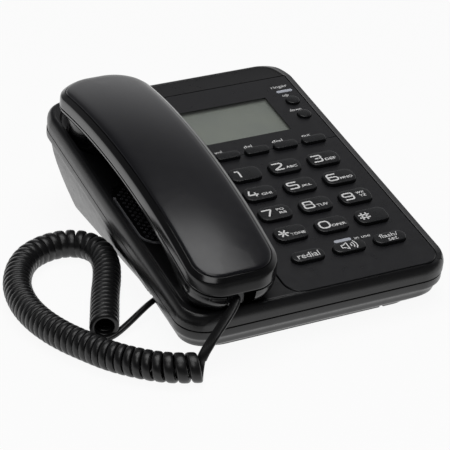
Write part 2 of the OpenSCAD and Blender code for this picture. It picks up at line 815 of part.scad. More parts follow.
module speaker_grille() {
    w = grille_w - 2 * seam;
    d = grille_d - 2 * seam;
    r = grille_r - seam;
    rib_end = grille_d / 2 - grille_r;
    rows = floor(grille_d / grille_pitch);
    columns = ceil(grille_w / grille_pitch / 2);
    clear = grille_hole / 2 + rib_w + 1;
    color("#202022") tilted() translate([cradle_x, grille_y, dish_z - wall]) difference() {
        union() {
            linear_extrude(wall) rounded(w, d, r);
            linear_extrude(wall + rib_h) difference() {
                rounded(w, d, r);
                rounded(w - 2 * rib_w, d - 2 * rib_w, r - rib_w);
                translate([-w, rib_end]) square([2 * w, d]);
            }
            for (x = [-1, 1]) translate([x * (w - rib_w) / 2, rib_end, 0])
                cylinder(d = rib_w, h = wall + rib_h);
        }
        for (j = [-rows:rows], i = [-columns:columns]) {
            x = (i + (j % 2 == 0 ? 0 : 0.5)) * grille_pitch;
            y = j * grille_pitch / 2;
            in_x = w / 2 - clear - abs(x);
            in_y = d / 2 - clear - abs(y);
            if (in_x > 0 && in_y > 0 && in_x + in_y > grille_r / 2)
                translate([x, y, -over]) cylinder(d = grille_hole, h = 2 * wall, $fn = 16);
        }
    }
}

module hook_plunger() {
    flange = well_z - wall - plunger_gap - plunger_rise;
    color("#2a2a2c") tilted() translate([cradle_x, plunger_y, 0]) {
        translate([0, 0, flange - plunger_flange])
            cylinder(d = plunger_d, h = well_z - flange + plunger_flange - plunger_chamfer);
        translate([0, 0, well_z - plunger_chamfer])
            cylinder(d1 = plunger_d, d2 = plunger_d - 2 * plunger_chamfer, h = plunger_chamfer);
        translate([0, 0, flange - plunger_flange])
            cylinder(d = plunger_d + 2 * plunger_lip, h = plunger_flange);
        translate([0, 0, plunger_low]) cylinder(d = plunger_d / 2, h = flange - plunger_low);
    }
}

module hook_switch() {
    top = plunger_low - plunger_gap;
    reach = plunger_d + 2 * switch_clear;
    high = well_z - wall;
    color("#5a5a5e") tilted() translate([cradle_x, plunger_y, 0]) difference() {
        translate([-reach / 2 - switch_arm, -switch_d / 2, top - switch_h])
            cube([reach + 2 * switch_arm, switch_d, high - top + switch_h]);
        translate([-reach / 2, -switch_d, top]) cube([reach, 2 * switch_d, high - top + over]);
    }
}

module base_microphone() {
    r = mic_d / 2;
    color("#3c3c40") translate([mic_x, -stand_front + 2 * wall, foot_proud + wall + r + rest])
        rotate([-90, 0, 0])
        cylinder(r = r, h = mic_l);
}

// Sockets and plugs

// A block with a blind opening towards -Y, its mouth centred on the origin
module socket(w, h, l) {
    difference() {
        translate([-w / 2 - socket_wall, 0, -h / 2 - socket_wall])
            cube([w + 2 * socket_wall, l + socket_wall, h + 2 * socket_wall]);
        translate([-w / 2, -over, -h / 2]) cube([w, l + over, h]);
        translate([-w / 4, -over, -h / 2 - socket_wall / 2]) cube([w / 2, l / 2, h]);
    }
}

// The opening that a socket block needs in a wall
module socket_hole(w, h) {
    side = w + 2 * (socket_wall + socket_gap);
    high = h + 2 * (socket_wall + socket_gap);
    translate([-side / 2, -4 * wall, -high / 2]) cube([side, 7 * wall, high]);
}

// A modular plug with its latch, mouth end at the origin and pointing to +Y
module modular_plug() {
    difference() {
        translate([-plug_w / 2, -plug_out, -plug_h / 2]) cube([plug_w, plug_l, plug_h]);
        translate([-plug_w, plug_l - plug_out - plug_contact, plug_h / 2 - plug_notch])
            cube([2 * plug_w, 2 * plug_contact, 2 * plug_notch]);
    }
    translate([-plug_w / 6, -plug_out + latch_in, -plug_h / 2 - latch_t])
        cube([plug_w / 3, plug_l / 2, latch_t + over]);
}

module line_place() {
    translate([line_x, stand_rear + tan(rear_lean) * line_z, line_z]) rotate([0, 0, 180]) children();
}

module cord_place() {
    translate([-stand_w / 2 - tan(stand_lean) * cord_z, cord_y, cord_z]) rotate([0, 0, -90]) children();
}

module handset_socket_place() {
    tilted() translate([cradle_x + jack_side, jack_in - handset_nose, jack_z]) children();
}

module line_jack() {
    color("#0e0e10") line_place() socket(line_w, line_h, line_l);
}

module cord_jack() {
    color("#0e0e10") cord_place() socket(plug_w + 2 * plug_gap, plug_h + 2 * plug_gap, plug_l);
}

module handset_jack() {
    color("#0e0e10") handset_socket_place() socket(plug_w + 2 * plug_gap, plug_h + 2 * plug_gap, plug_l);
}

module base_plug() {
    color("#2b2b2e") cord_place() modular_plug();
}

module handset_plug() {
    color("#2b2b2e") handset_socket_place() modular_plug();
}

// Handset

// Half of the plan outline, from the rear end round to the front end at nose, set in by d
function half_outline(d, nose) = concat(
    [for (i = [0:corner_steps]) let (a = 90 - 90 * i / corner_steps)
        [ear_w / 2 - ear_corner + (ear_corner - d) * cos(a),
         handset_rear - ear_corner + (ear_corner - d) * sin(a)]],
    [for (i = [1:side_steps - 1]) let (u = i / side_steps)
        [(1 - u) * ear_w / 2 + u * nose_w / 2 - d,
         (1 - u) * (handset_rear - ear_corner) + u * (nose_corner - nose)]],
    [for (i = [0:corner_steps]) let (a = -90 * i / corner_steps)
        [nose_w / 2 - nose_corner + (nose_corner - d) * cos(a),
         nose_corner - nose + (nose_corner - d) * sin(a)]]);

// One level of a shell: the outline set in by d, at part f of the body's depth and lifted by h
function level(d, f, h) = let (
    half = half_outline(d, f > 0 ? handset_nose - nose_draft * d : handset_nose), n = len(half)) concat(
    [for (p = half) [p[0], p[1], arch(p[1]) - f * depth(p[1]) + h]],
    [for (i = [n - 1:-1:0]) let (p = half[i]) [-p[0], p[1], arch(p[1]) - f * depth(p[1]) + h]]);

// A solid through stacked levels, closed across the first and the last
module stacked(levels, turned) {
    half = corner_steps * 2 + side_steps + 1;
    n = 2 * half;
    points = [for (s = levels) each level(s[0], s[1], s[2])];
    last = (len(levels) - 1) * n;
    side = [for (k = [0:len(levels) - 2], i = [0:n - 1]) let (a = k * n + i, b = k * n + (i + 1) % n)
        each [[a, b, b + n], [a, b + n, a + n]]];
    low = [for (i = [0:half - 2]) each [[n - 1 - i, n - 2 - i, i + 1], [n - 1 - i, i + 1, i]]];
    high = [for (i = [0:half - 2]) each
        [[last + i, last + i + 1, last + n - 2 - i], [last + i, last + n - 2 - i, last + n - 1 - i]]];
    faces = concat(side, low, high);
    polyhedron(points, turned ? [for (f = faces) [f[2], f[1], f[0]]] : faces);
}

// All that lies under the arch, lowered by drop
module under_arch(drop) {
    translate([0, arch_y, arch_z - arch_r]) rotate([0, 90, 0])
        cylinder(r = arch_r - drop, h = 2 * ear_w, center = true, $fn = 360);
}

module handset_place() {
    tilted() translate([cradle_x, 0, 0]) children();
}

module handset_cover() {
    seat = cover_h - inlay_t;
    color("#141416") handset_place() difference() {
        union() {
            stacked(concat(
                [[border + shell, 0, seat - shell], [shell + inner_in, 0, seat - shell - inner_drop]],
                [[shell, 0, 0], [0, 0, 0]],
                [for (c = COVER_CURVE) [border * c[0], 0, cover_h * c[1]]],
                [[border, 0, cover_h - inlay_seam], [border, 0, seat]]
            ), false);
            for (y = HANDSET_SCREWS) let (low = arch(y) - depth(y) + shell + boss_clear)
                translate([0, y, low]) cylinder(d = handset_boss, h = arch(y) + seat - shell / 2 - low);
        }
        for (y = HANDSET_SCREWS) translate([0, y, arch(y) - depth(y)])
            cylinder(d = handset_screw + seam, h = handset_head_h + handset_screw_l + thread_free);
    }
}

module handset_inlay() {
    seat = cover_h - inlay_t + inlay_gap / 2;
    edge = border + inlay_gap;
    color("#2b2b2e") handset_place() stacked([
        [edge, 0, seat], [edge, 0, cover_h - inlay_seam],
        for (c = INLAY_CURVE) [edge + c[0], 0, cover_h + inlay_gap + inlay_crown * c[1]]
    ], false);
}

module ear_cup(inset) {
    r = cup_r - inset;
    e = cup_edge - inset / 2;
    high = cup_depth - inset + arch_z;
    translate([0, cup_y, -cup_depth + inset])
        rotate_extrude() mirror([0, 1]) translate([0, -high]) intersection() {
            round_top(2 * r, high, e);
            square([r, high]);
        }
}

module handset_body() {
    shelf_z = arch(handset_mic_y) - depth(handset_mic_y) + shelf_up;
    color("#19191b") handset_place() difference() {
        union() {
            stacked(concat(
                [[shell + inner_floor, 1, shell], [shell + inner_in, inner_part, 0]],
                [[shell, 0, -parting_gap], [0, 0, -parting_gap]],
                [for (c = BODY_CURVE) [body_round * c[0], c[1], 0]]
            ), true);
            intersection() {
                under_arch(parting_gap);
                ear_cup(0);
            }
            translate([0, handset_mic_y, shelf_z - shelf_t]) cylinder(d = mic_d, h = shelf_t);
        }
        ear_cup(shell);
        for (y = HANDSET_SCREWS) translate([0, y, arch(y) - depth(y) - grip_depth]) {
            cylinder(d = handset_screw + bore_gap, h = 3 * grip_depth);
            cylinder(d = handset_head + bore_gap, h = grip_depth + handset_head_h);
        }
        translate([0, cup_y, -cup_depth - over]) {
            cylinder(d = sound_hole, h = 2 * shell, $fn = 16);
            for (a = [0:60:300]) rotate(a) translate([sound_ring, 0, 0])
                cylinder(d = sound_hole, h = 2 * shell, $fn = 16);
        }
        translate([0, handset_mic_y, -mouth_depth])
            cylinder(d = sound_hole, h = shelf_z + mouth_depth + over, $fn = 16);
        translate([slot_left, -handset_nose - over, jack_z - block_half - rest])
            cube([slot_right - slot_left, slot_l + over, 2 * arch_z]);
    }
}

module handset_receiver() {
    r = cup_r - shell - receiver_clear;
    color("#55555a") handset_place() translate([0, cup_y, -cup_depth + shell]) {
        cylinder(r = r, h = receiver_h);
        cylinder(r = r * magnet_r, h = magnet_h);
    }
}

module handset_microphone() {
    shelf_z = arch(handset_mic_y) - depth(handset_mic_y) + shelf_up;
    color("#3c3c40") handset_place() translate([0, handset_mic_y, shelf_z]) cylinder(d = mic_d, h = mic_l);
}

module handset_weight() {
    color("#77777c") handset_place() translate([0, 0, arch_z - grip_depth + shell + weight_h / 2 + rest])
        cube([weight_w, weight_l, weight_h], center = true);
}

module handset_screws() {
    color("silver") handset_place() for (y = HANDSET_SCREWS)
        translate([0, y, arch(y) - depth(y)]) {
            translate([0, 0, handset_head_h]) cylinder(d = handset_screw, h = handset_screw_l);
            difference() {
                cylinder(d = handset_head, h = handset_head_h);
                for (a = [0, 90]) rotate(a)
                    cube([handset_head * cross_reach, handset_cross, 2 * handset_cross], center = true);
            }
        }
}

// Cord

// A point of the smooth curve through the points p, at place u of span i
function curve_point(p, i, u) = let (
    last = len(p) - 1, a = p[max(i - 1, 0)], b = p[i], c = p[i + 1], d = p[min(i + 2, last)])
    0.5 * (2 * b + (c - a) * u + (2 * a - 5 * b + 4 * c - d) * u * u + (3 * b - a - 3 * c + d) * u * u * u);

// The curve through the points p as steps short chords to each span
function curve(p, steps) = concat(
    [for (i = [0:len(p) - 2], k = [0:steps - 1]) curve_point(p, i, k / steps)], [p[len(p) - 1]]);

// Distance of each point of the chain p from its start
function distances(p) = [for (i = 0, s = 0; i < len(p);
    s = s + (i + 1 < len(p) ? norm(p[i + 1] - p[i]) : 0), i = i + 1) s];

function unit(v) = v / norm(v);
function along(p, i) = unit(p[min(i + 1, len(p) - 1)] - p[max(i - 1, 0)]);

// A closed tube of sides sides round the chain p, with the given first side direction at each point
module tube(p, outs, d, sides) {
    n = len(p);
    points = [for (i = [0:n - 1])
        let (t = along(p, i), u = unit(outs[i] - t * (outs[i] * t)), v = cross(t, u))
        each [for (k = [0:sides - 1]) let (a = 360 * k / sides) p[i] + d / 2 * (cos(a) * u + sin(a) * v)]];
    side = [for (i = [0:n - 2], k = [0:sides - 1]) let (
        a = i * sides + k, b = i * sides + (k + 1) % sides)
        each [[a, b + sides, b], [a, a + sides, b + sides]]];
    first = [for (k = [1:sides - 2]) [0, k, k + 1]];
    final = (n - 1) * sides;
    second = [for (k = [1:sides - 2]) [final, final + k + 1, final + k]];
    polyhedron(points, concat(side, first, second));
}

coil_axis = curve(COIL_ROUTE, 12);
coil_run = distances(coil_axis);
coil_length = coil_run[len(coil_run) - 1];
coil_r = (coil_d - cord_d) / 2;

// Curls pass faster where the coil lies close and slower at its loose end
function closeness(s) = 1 / (1 + loose_end * max(0, 1 - (coil_length - s) / loose_run)
    + loose_bend * max(0, 1 - abs(s - bend_place) / bend_run));
coil_turns = [for (i = 0, t = 0; i < len(coil_axis);
    t = t + (i + 1 < len(coil_axis) ? (coil_run[i + 1] - coil_run[i]) * closeness(coil_run[i]) : 0),
    i = i + 1) t];
turn_scale = (curls + 0.25) / coil_turns[len(coil_turns) - 1];
TURN_TO_X = [for (i = [0:len(coil_axis) - 1]) [coil_turns[i] * turn_scale, coil_axis[i][0]]];
TURN_TO_Y = [for (i = [0:len(coil_axis) - 1]) [coil_turns[i] * turn_scale, coil_axis[i][1]]];
function axis_point(t) = [lookup(t, TURN_TO_X), lookup(t, TURN_TO_Y), coil_d / 2 + coil_lift];
function axis_way(t) = unit(axis_point(t + 0.5) - axis_point(t - 0.5));
function coil_out(t) = let (w = axis_way(t), a = 360 * t - 90) [-w[1] * cos(a), w[0] * cos(a), sin(a)];
function coil_point(t) = axis_point(t) + coil_r * coil_out(t);
curl_rings = 8;
coil_rings = floor((curls + 0.25) * curl_rings);
coil_chain = [for (i = [0:coil_rings]) coil_point(i / curl_rings)];
coil_ways = [for (i = [0:coil_rings]) coil_out(i / curl_rings)];
start_way = unit(coil_chain[0] - coil_chain[1] + [0, 0, coil_chain[1][2] - coil_chain[0][2]]);
coil_start = coil_chain[0] + cord_d * start_way;
end_way = unit([0.45, -0.1, 0.88]);
coil_end = coil_chain[coil_rings] + cord_d * end_way;

// Least distance between the cord's own surface and the next curl
curl_gap = min([for (i = [0:coil_rings - curl_rings], j = [curl_rings - 3:curl_rings + 3])
    if (i + j <= coil_rings) norm(coil_chain[i + j] - coil_chain[i])]) - cord_d;
echo(curl_gap = curl_gap, coil_length = coil_length);
echo(coil_start = coil_start, coil_end = coil_end);

module curly_cord() {
    color("#1c1c1e") tube(concat([coil_start], coil_chain, [coil_end]),
        concat([coil_ways[0]], coil_ways, [coil_ways[coil_rings]]), cord_d, 6);
}

// A lead with straight ends: from the plug's face at from, by the route, to the coil's end at to
module lead(from, out, route, to, way) {
    chain = concat([from], curve(concat([from + cord_d * out], route, [to + cord_d * way]), 3), [to]);
    color("#1c1c1e") tube(chain, [for (p = chain) [0.1, 0.3, 1]], cord_d, 8);
}

module base_lead() {
    lead(base_exit, base_out, BASE_ROUTE, coil_start, start_way);
}

module handset_lead() {
    lead(handset_exit, handset_out, HANDSET_ROUTE, coil_end, end_way);
}

lower_case();
upper_case();
face_plate();
display_panel();
display_lens();
lcd_module();
key_mat();
main_board();
loudspeaker();
speaker_grille();
ringer_light();
in_use_light();
hook_switch();
hook_plunger();
line_jack();
cord_jack();
base_microphone();
rubber_feet();
case_screws();
handset_cover();
handset_inlay();
handset_body();
handset_receiver();
handset_microphone();
handset_weight();
handset_jack();
handset_screws();
handset_plug();
base_plug();
base_lead();
curly_cord();
handset_lead();
for (k = KEYS) key(k);
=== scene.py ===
# %% [markdown]
# # A corded desk telephone
# This lesson dresses the measured solids of a push-button desk telephone with a display. The solids
# already have the right sizes and joints. Blender gives them soft edges, finishes, printing, a curly
# cord and studio light. Measures are in millimetres, apart from those of the lamps and the floor, and
# are turned into metres on the way in.

# %% Load the measured solids
import bisect
import json
import math

import bmesh
import bpy
from mathutils import Matrix, Vector


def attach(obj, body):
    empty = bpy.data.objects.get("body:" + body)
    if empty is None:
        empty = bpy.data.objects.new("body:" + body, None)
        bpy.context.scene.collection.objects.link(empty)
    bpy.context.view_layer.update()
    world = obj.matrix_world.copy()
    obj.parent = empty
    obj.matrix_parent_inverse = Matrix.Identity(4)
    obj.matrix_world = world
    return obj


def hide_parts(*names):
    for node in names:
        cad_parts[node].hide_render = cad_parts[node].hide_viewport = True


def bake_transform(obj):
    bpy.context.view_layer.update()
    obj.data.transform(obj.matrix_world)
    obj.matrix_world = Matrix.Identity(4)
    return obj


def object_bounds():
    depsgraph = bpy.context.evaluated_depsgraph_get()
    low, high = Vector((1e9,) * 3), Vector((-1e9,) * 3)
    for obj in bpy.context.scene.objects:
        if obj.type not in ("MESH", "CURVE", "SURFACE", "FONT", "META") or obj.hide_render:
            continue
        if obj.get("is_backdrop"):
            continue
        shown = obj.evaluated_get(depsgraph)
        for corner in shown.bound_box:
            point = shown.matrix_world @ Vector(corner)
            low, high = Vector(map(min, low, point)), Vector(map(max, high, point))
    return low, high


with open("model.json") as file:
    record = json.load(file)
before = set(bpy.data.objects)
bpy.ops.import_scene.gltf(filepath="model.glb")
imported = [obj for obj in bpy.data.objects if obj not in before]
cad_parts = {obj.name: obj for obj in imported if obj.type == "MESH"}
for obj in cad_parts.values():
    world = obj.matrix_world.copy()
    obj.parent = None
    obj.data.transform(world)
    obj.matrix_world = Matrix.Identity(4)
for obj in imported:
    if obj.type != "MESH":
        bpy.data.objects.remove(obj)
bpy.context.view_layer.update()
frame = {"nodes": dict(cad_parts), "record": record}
nodes = frame["nodes"]

# %% [markdown]
# The top of the telephone slopes towards the person who dials. Shapes on that face are easiest to draw
# flat, with X to the right, Y to the rear and Z out of the face, and then to tip as a whole.

# %% Measures and the sloping face
MM = 0.001
TILT = math.radians(9.7)
FACE_BACK = 0.6
FACE_HIGH = 41
CRADLE_X = -44


def mm(x, y, z=0.0):
    """A point given in millimetres."""
    return Vector((x, y, z)) * MM


FACE = Matrix.Translation(mm(0, FACE_BACK, FACE_HIGH)) @ Matrix.Rotation(TILT, 4, "X")
WORLD = Matrix.Identity(4)
print("the face's middle stands", round(FACE.translation.z / MM, 1), "mm above the floor")

# %% [markdown]
# A few small jobs come back for every piece: to pick what an operator works on, to make a mesh from its
# corners, to apply a modifier, to join pieces, to shade them smooth, to give them a finish, and to let
# a piece ride on a body and stand for the solid that it replaces.

# %% Small helpers


def pick(*pieces):
    """Selects only these pieces, and makes the first of them active."""
    bpy.ops.object.select_all(action="DESELECT")
    for piece in pieces:
        piece.select_set(True)
    bpy.context.view_layer.objects.active = pieces[0]


def linked(name, mesh):
    """A new piece of the scene with the given mesh."""
    piece = bpy.data.objects.new(name, mesh)
    bpy.context.scene.collection.objects.link(piece)
    return piece


def mesh_piece(name, corners, faces):
    """A new piece from corners and faces."""
    mesh = bpy.data.meshes.new(name)
    mesh.from_pydata(corners, [], faces)
    mesh.update()
    return linked(name, mesh)


def apply(piece, kind, **settings):
    """Adds a modifier with its settings, and applies it."""
    pick(piece)
    change = piece.modifiers.new(kind, kind)
    for setting, value in settings.items():
        setattr(change, setting, value)
    bpy.ops.object.modifier_apply(modifier=change.name)


def join(*pieces):
    """Joins the pieces to the first of them."""
    pick(*pieces)
    if len(pieces) > 1:
        bpy.ops.object.join()
    return pieces[0]


def smooth(piece, degrees=40):
    """Shades a piece smooth, apart from edges that are sharper than an angle."""
    pick(piece)
    bpy.ops.object.shade_smooth_by_angle(angle=math.radians(degrees))


def wear(piece, material):
    """Gives a piece its finish."""
    piece.data.materials.clear()
    piece.data.materials.append(material)


def stand_for(piece, body, node):
    """Lets a piece ride on a body, in place of a solid."""
    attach(piece, body)
    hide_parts(node)


body_of_node = {}
for body, members in frame["record"]["behaviour"]["bodies"].items():
    for name in members:
        body_of_node[name] = body
print("solids that belong to a body", len(body_of_node))

# %% [markdown]
# The camera comes before any piece, because every later choice is judged through it. A long lens from
# the left front and above keeps the edges of the case nearly parallel, as in a catalogue picture.

# %% Camera
CAMERA_PLACE = mm(-392, -830.9, 489.6)
CAMERA_WAY = Vector((0.3734, 0.8062, -0.4588))
LENS = 157.5
SENSOR = 36


def aimed(way):
    """The rotation of a camera or lamp that looks a given way."""
    return way.to_track_quat("-Z", "Y").to_euler()


bpy.ops.object.camera_add(location=CAMERA_PLACE)
camera = bpy.context.object
camera.data.lens = LENS
camera.data.sensor_width = SENSOR
camera.rotation_euler = aimed(CAMERA_WAY)
bpy.context.scene.camera = camera
print("camera", [round(c, 3) for c in camera.location])

# %% [markdown]
# The curly cord is one flat wire: it leaves a plug in the side of the base, lies on the floor, turns
# into a close coil that loops beside the telephone, and climbs to a plug in the handset's mouth end.
# The coil's axis is a smooth line at one height above the floor. The wire runs round that line once for
# each curl. The curls lie close on the straight runs, wider in the bend and widest where the lead pulls
# the coil open.

# %% The line that the curly cord follows
COIL_ROUTE = [
    mm(-98.5, -58), mm(-92.5, -43.5), mm(-86, -28), mm(-79, -12.5), mm(-74, 1), mm(-72, 14),
    mm(-75, 24.5), mm(-82, 30.5), mm(-90, 32), mm(-99, 30), mm(-108, 24.5), mm(-116, 14.5),
    mm(-122.5, 0), mm(-125.5, -15.5), mm(-125.5, -30.5), mm(-123, -45), mm(-118.5, -58.5),
    mm(-113, -70), mm(-106.5, -82), mm(-99, -92), mm(-90, -101), mm(-81, -107), mm(-70.5, -111.3),
]
BASE_EXIT = mm(-63.75, -43.5, 8.55)
BASE_OUT = Vector((-1, 0, 0))
HANDSET_EXIT = mm(-46.5, -96.66, 31.31)
HANDSET_OUT = Vector((0, -math.cos(TILT), -math.sin(TILT)))
CURLS = 65.25
COIL_RADIUS = 6 * MM
AXIS_HEIGHT = 7.7 * MM
CURL_STEPS = [
    (0, 3.8), (45, 4.1), (75, 5.6), (110, 5.2), (180, 3.7), (240, 3.8), (270, 5.0), (290, 6.6),
]
RINGS_PER_CURL = 24


def smooth_line(points, steps):
    """A smooth curve through the points, with steps short chords to each span."""
    line = []
    last = len(points) - 1
    for i in range(last):
        a = points[max(i - 1, 0)]
        b = points[i]
        c = points[i + 1]
        d = points[min(i + 2, last)]
        for k in range(steps):
            u = k / steps
            square = (2 * a - 5 * b + 4 * c - d) * u * u
            cube = (3 * b - a - 3 * c + d) * u ** 3
            line.append(0.5 * (2 * b + (c - a) * u + square + cube))
    line.append(points[last])
    return line


axis = smooth_line(COIL_ROUTE, steps=12)
run = [0.0]
for a, b in zip(axis, axis[1:]):
    run.append(run[-1] + (b - a).length)


def curl_step(place):
    """How far the coil goes on in one curl, at a place in millimetres along its axis."""
    for (a, step_a), (b, step_b) in zip(CURL_STEPS, CURL_STEPS[1:]):
        if place <= b:
            return step_a + (step_b - step_a) * (place - a) / (b - a)
    return CURL_STEPS[-1][1]


turns = [0.0]
for i in range(len(axis) - 1):
    turns.append(turns[-1] + (run[i + 1] - run[i]) / curl_step(run[i] / MM))
turns = [t * CURLS / turns[-1] for t in turns]


def axis_point(t):
    """The coil's axis after t curls."""
    t = min(max(t, 0), CURLS)
    i = min(bisect.bisect_right(turns, t) - 1, len(axis) - 2)
    part = (t - turns[i]) / (turns[i + 1] - turns[i])
    point = axis[i].lerp(axis[i + 1], part)
    point.z = AXIS_HEIGHT
    return point


def outward(t):
    """The way from the coil's axis to the wire after t curls."""
    way = (axis_point(t + 0.5) - axis_point(t - 0.5)).normalized()
    a = 2 * math.pi * t - math.pi / 2
    return Vector((-way.y * math.cos(a), way.x * math.cos(a), math.sin(a)))


places = [i / RINGS_PER_CURL for i in range(int(CURLS * RINGS_PER_CURL) + 1)]
coil_points = [axis_point(t) + COIL_RADIUS * outward(t) for t in places]
coil_outs = [outward(t) for t in places]
print("coil", round(run[-1] / MM), "mm long on the floor, wire points", len(coil_points))

# %% [markdown]
# A flat wire has no ready tool that keeps its broad side turned to the coil's axis, so its skin is laid
# ring by ring along the line. The last five curls and the lead to the handset are a piece of their own,
# because that end is lifted when somebody picks the handset up.

# %% Curly cord
WIRE_BROAD = 3.9 * MM
WIRE_MOST = 5.2 * MM
WIRE_THIN = 2.7 * MM
WIRE_SHARE = 0.9
LEAD_BROAD = 5 * MM
LEAD_THIN = 2.3 * MM
LEAD_STEPS = 24
BASE_PULL = 6 * MM
START_PULL = 7 * MM
END_PULL = 6 * MM
HANDSET_PULL = 4.5 * MM
FLAT_OVER = 6
TURN_OVER = 8
SIDES = 14
SQUARE_THIN = 0.75
SQUARE_BROAD = 0.6
LIFTED_CURLS = 5
EDGE_ON = Vector((0.5, -0.3, -0.8)).normalized()
FROM_FRONT = Vector((0.65, 0.4, -0.65)).normalized()


def curl_breadth(t):
    """The wire's breadth after t curls, a little more where the curls stand apart."""
    step = (axis_point(t + 0.5) - axis_point(t - 0.5)).length
    return min(max(WIRE_SHARE * step, WIRE_BROAD), WIRE_MOST)


def wire(name, points, outs, breadths, flat_from):
    """A closed flat wire along the points, its thin way turned to the given outward ways.

    It has the given breadths, and goes over to the flat lead from the place flat_from on."""
    rows = []
    for i, point in enumerate(points):
        flat = min(max((i - flat_from) / FLAT_OVER, 0), 1)
        half_thin = (WIRE_THIN + flat * (LEAD_THIN - WIRE_THIN)) / 2
        half_broad = (breadths[i] + flat * (LEAD_BROAD - breadths[i])) / 2
        along = (points[min(i + 1, len(points) - 1)] - points[max(i - 1, 0)]).normalized()
        thin = (outs[i] - along * outs[i].dot(along)).normalized()
        broad = along.cross(thin)
        row = []
        for k in range(SIDES):
            a = 2 * math.pi * k / SIDES
            c, s = math.cos(a), math.sin(a)
            x = math.copysign(abs(c) ** SQUARE_THIN, c) * half_thin
            y = math.copysign(abs(s) ** SQUARE_BROAD, s) * half_broad
            row.append(point + x * thin + y * broad)
        rows.append(row)
    corners = [p for row in rows for p in row]
    faces = []
    for i in range(len(rows) - 1):
        for k in range(SIDES):
            n = (k + 1) % SIDES
            faces.append((i * SIDES + k, i * SIDES + n, (i + 1) * SIDES + n, (i + 1) * SIDES + k))
    faces.append(tuple(reversed(range(SIDES))))
    faces.append(tuple(range(len(corners) - SIDES, len(corners))))
    piece = mesh_piece(name, corners, faces)
    smooth(piece, degrees=50)
    return piece


def chain_length(points):
    """The length of a line of points."""
    return sum((b - a).length for a, b in zip(points, points[1:]))


def lead(a, a_way, b, b_way):
    """A lead that leaves a along a_way, bends once and arrives at b against b_way."""
    made = []
    for i in range(LEAD_STEPS + 1):
        u = i / LEAD_STEPS
        v = 1 - u
        near_a = a * v ** 3 + (a + a_way) * 3 * v * v * u
        near_b = (b + b_way) * 3 * v * u * u + b * u ** 3
        made.append(near_a + near_b)
    return made


start_way = coil_points[0] - coil_points[RINGS_PER_CURL // 8]
start_way.z = 0
start_way.normalize()
end_way = (coil_points[-1] - coil_points[-2]).normalized()
base_lead = lead(BASE_EXIT, BASE_PULL * BASE_OUT, coil_points[0], START_PULL * start_way)[:-1]
hand_lead = lead(coil_points[-1], END_PULL * end_way, HANDSET_EXIT, HANDSET_PULL * HANDSET_OUT)[1:]
base_outs = [EDGE_ON.lerp(coil_outs[0], (i / len(base_lead)) ** 2) for i in range(len(base_lead))]
hand_outs = [coil_outs[-1].lerp(FROM_FRONT, min(i / TURN_OVER, 1)) for i in range(len(hand_lead))]
breadths = [curl_breadth(t) for t in places]
cut = len(coil_points) - LIFTED_CURLS * RINGS_PER_CURL

lying_line = base_lead + coil_points[:cut + 1]
lying_outs = base_outs + coil_outs[:cut + 1]
lying_breadths = [WIRE_BROAD] * len(base_lead) + breadths[:cut + 1]
curly_cord = wire("curly_cord_coil", lying_line, lying_outs, lying_breadths, len(lying_line))
lifted_line = coil_points[cut:] + hand_lead
lifted_outs = coil_outs[cut:] + hand_outs
lifted_breadths = breadths[cut:] + [LEAD_BROAD] * len(hand_lead)
lead_from = len(coil_points) - cut
handset_cord = wire("curly_cord_handset_end", lifted_line, lifted_outs, lifted_breadths, lead_from)
print("wire lengths", round(chain_length(lying_line), 3), round(chain_length(lifted_line), 3), "m")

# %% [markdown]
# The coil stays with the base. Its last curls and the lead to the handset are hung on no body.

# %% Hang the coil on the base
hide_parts("curly_cord", "base_lead")
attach(curly_cord, "base")
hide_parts("handset_lead")
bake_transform(handset_cord)
print("cord pieces", curly_cord.name, handset_cord.name)

# %% [markdown]
# ## Finishes
# Each finish starts from the real material and how it was made. Colours are written as sRGB hex values
# and turned to linear light by one function. Another adds a node with its inputs and settings.

# %% Colour and node helpers


def linear(hex_colour):
    """The linear colour of an sRGB hex value."""
    parts = [int(hex_colour[i:i + 2], 16) / 255 for i in (1, 3, 5)]
    return [c / 12.92 if c <= 0.04045 else ((c + 0.055) / 1.055) ** 2.4 for c in parts] + [1.0]


def feed(tree, node, inputs):
    """Sets or links the inputs of a node."""
    for name, value in inputs.items():
        if isinstance(value, bpy.types.NodeSocket):
            tree.links.new(value, node.inputs[name])
        else:
            node.inputs[name].default_value = value


def put(tree, kind, inputs, out=0, **settings):
    """Adds a node with its inputs and settings, and gives back one of its outputs."""
    made = tree.nodes.new("ShaderNode" + kind)
    for name, value in settings.items():
        setattr(made, name, value)
    feed(tree, made, inputs)
    return made.outputs[out]


def new_finish(name):
    """A new material, with its node tree and its surface."""
    material = bpy.data.materials.new(name)
    material.use_nodes = True
    tree = material.node_tree
    return material, tree, tree.nodes["Principled BSDF"]


def per_mm(size):
    """The scale of a pattern whose grains are size millimetres wide."""
    return 1 / (size * MM)


print("black plastic in linear light", [round(c, 4) for c in linear("#1a1a1b")])

# %% [markdown]
# Nearly all of the telephone is moulded black ABS. A mould that was spark-eroded leaves a fine even
# grain, which spreads the light and looks satin. A polished mould leaves a gloss with a faint waviness.
# The same three patterns give both: a grain for the bump, patches for the gloss, and a slow drift of
# colour, all drawn at their real sizes. Grain finer than a pixel is drawn about 0.5 mm wide so it shows.
# Vinyl, nylon and ink are a little duller. Silicone, rubber and felt are matt, and the plugs of smoked
# polycarbonate shine.

# %% Moulded plastic
DRIFT_WIDE = 22
PATCH_WIDE = 5
GRAIN_STRENGTH = 0.5
NOISE_LOW = 0.3
NOISE_HIGH = 0.7


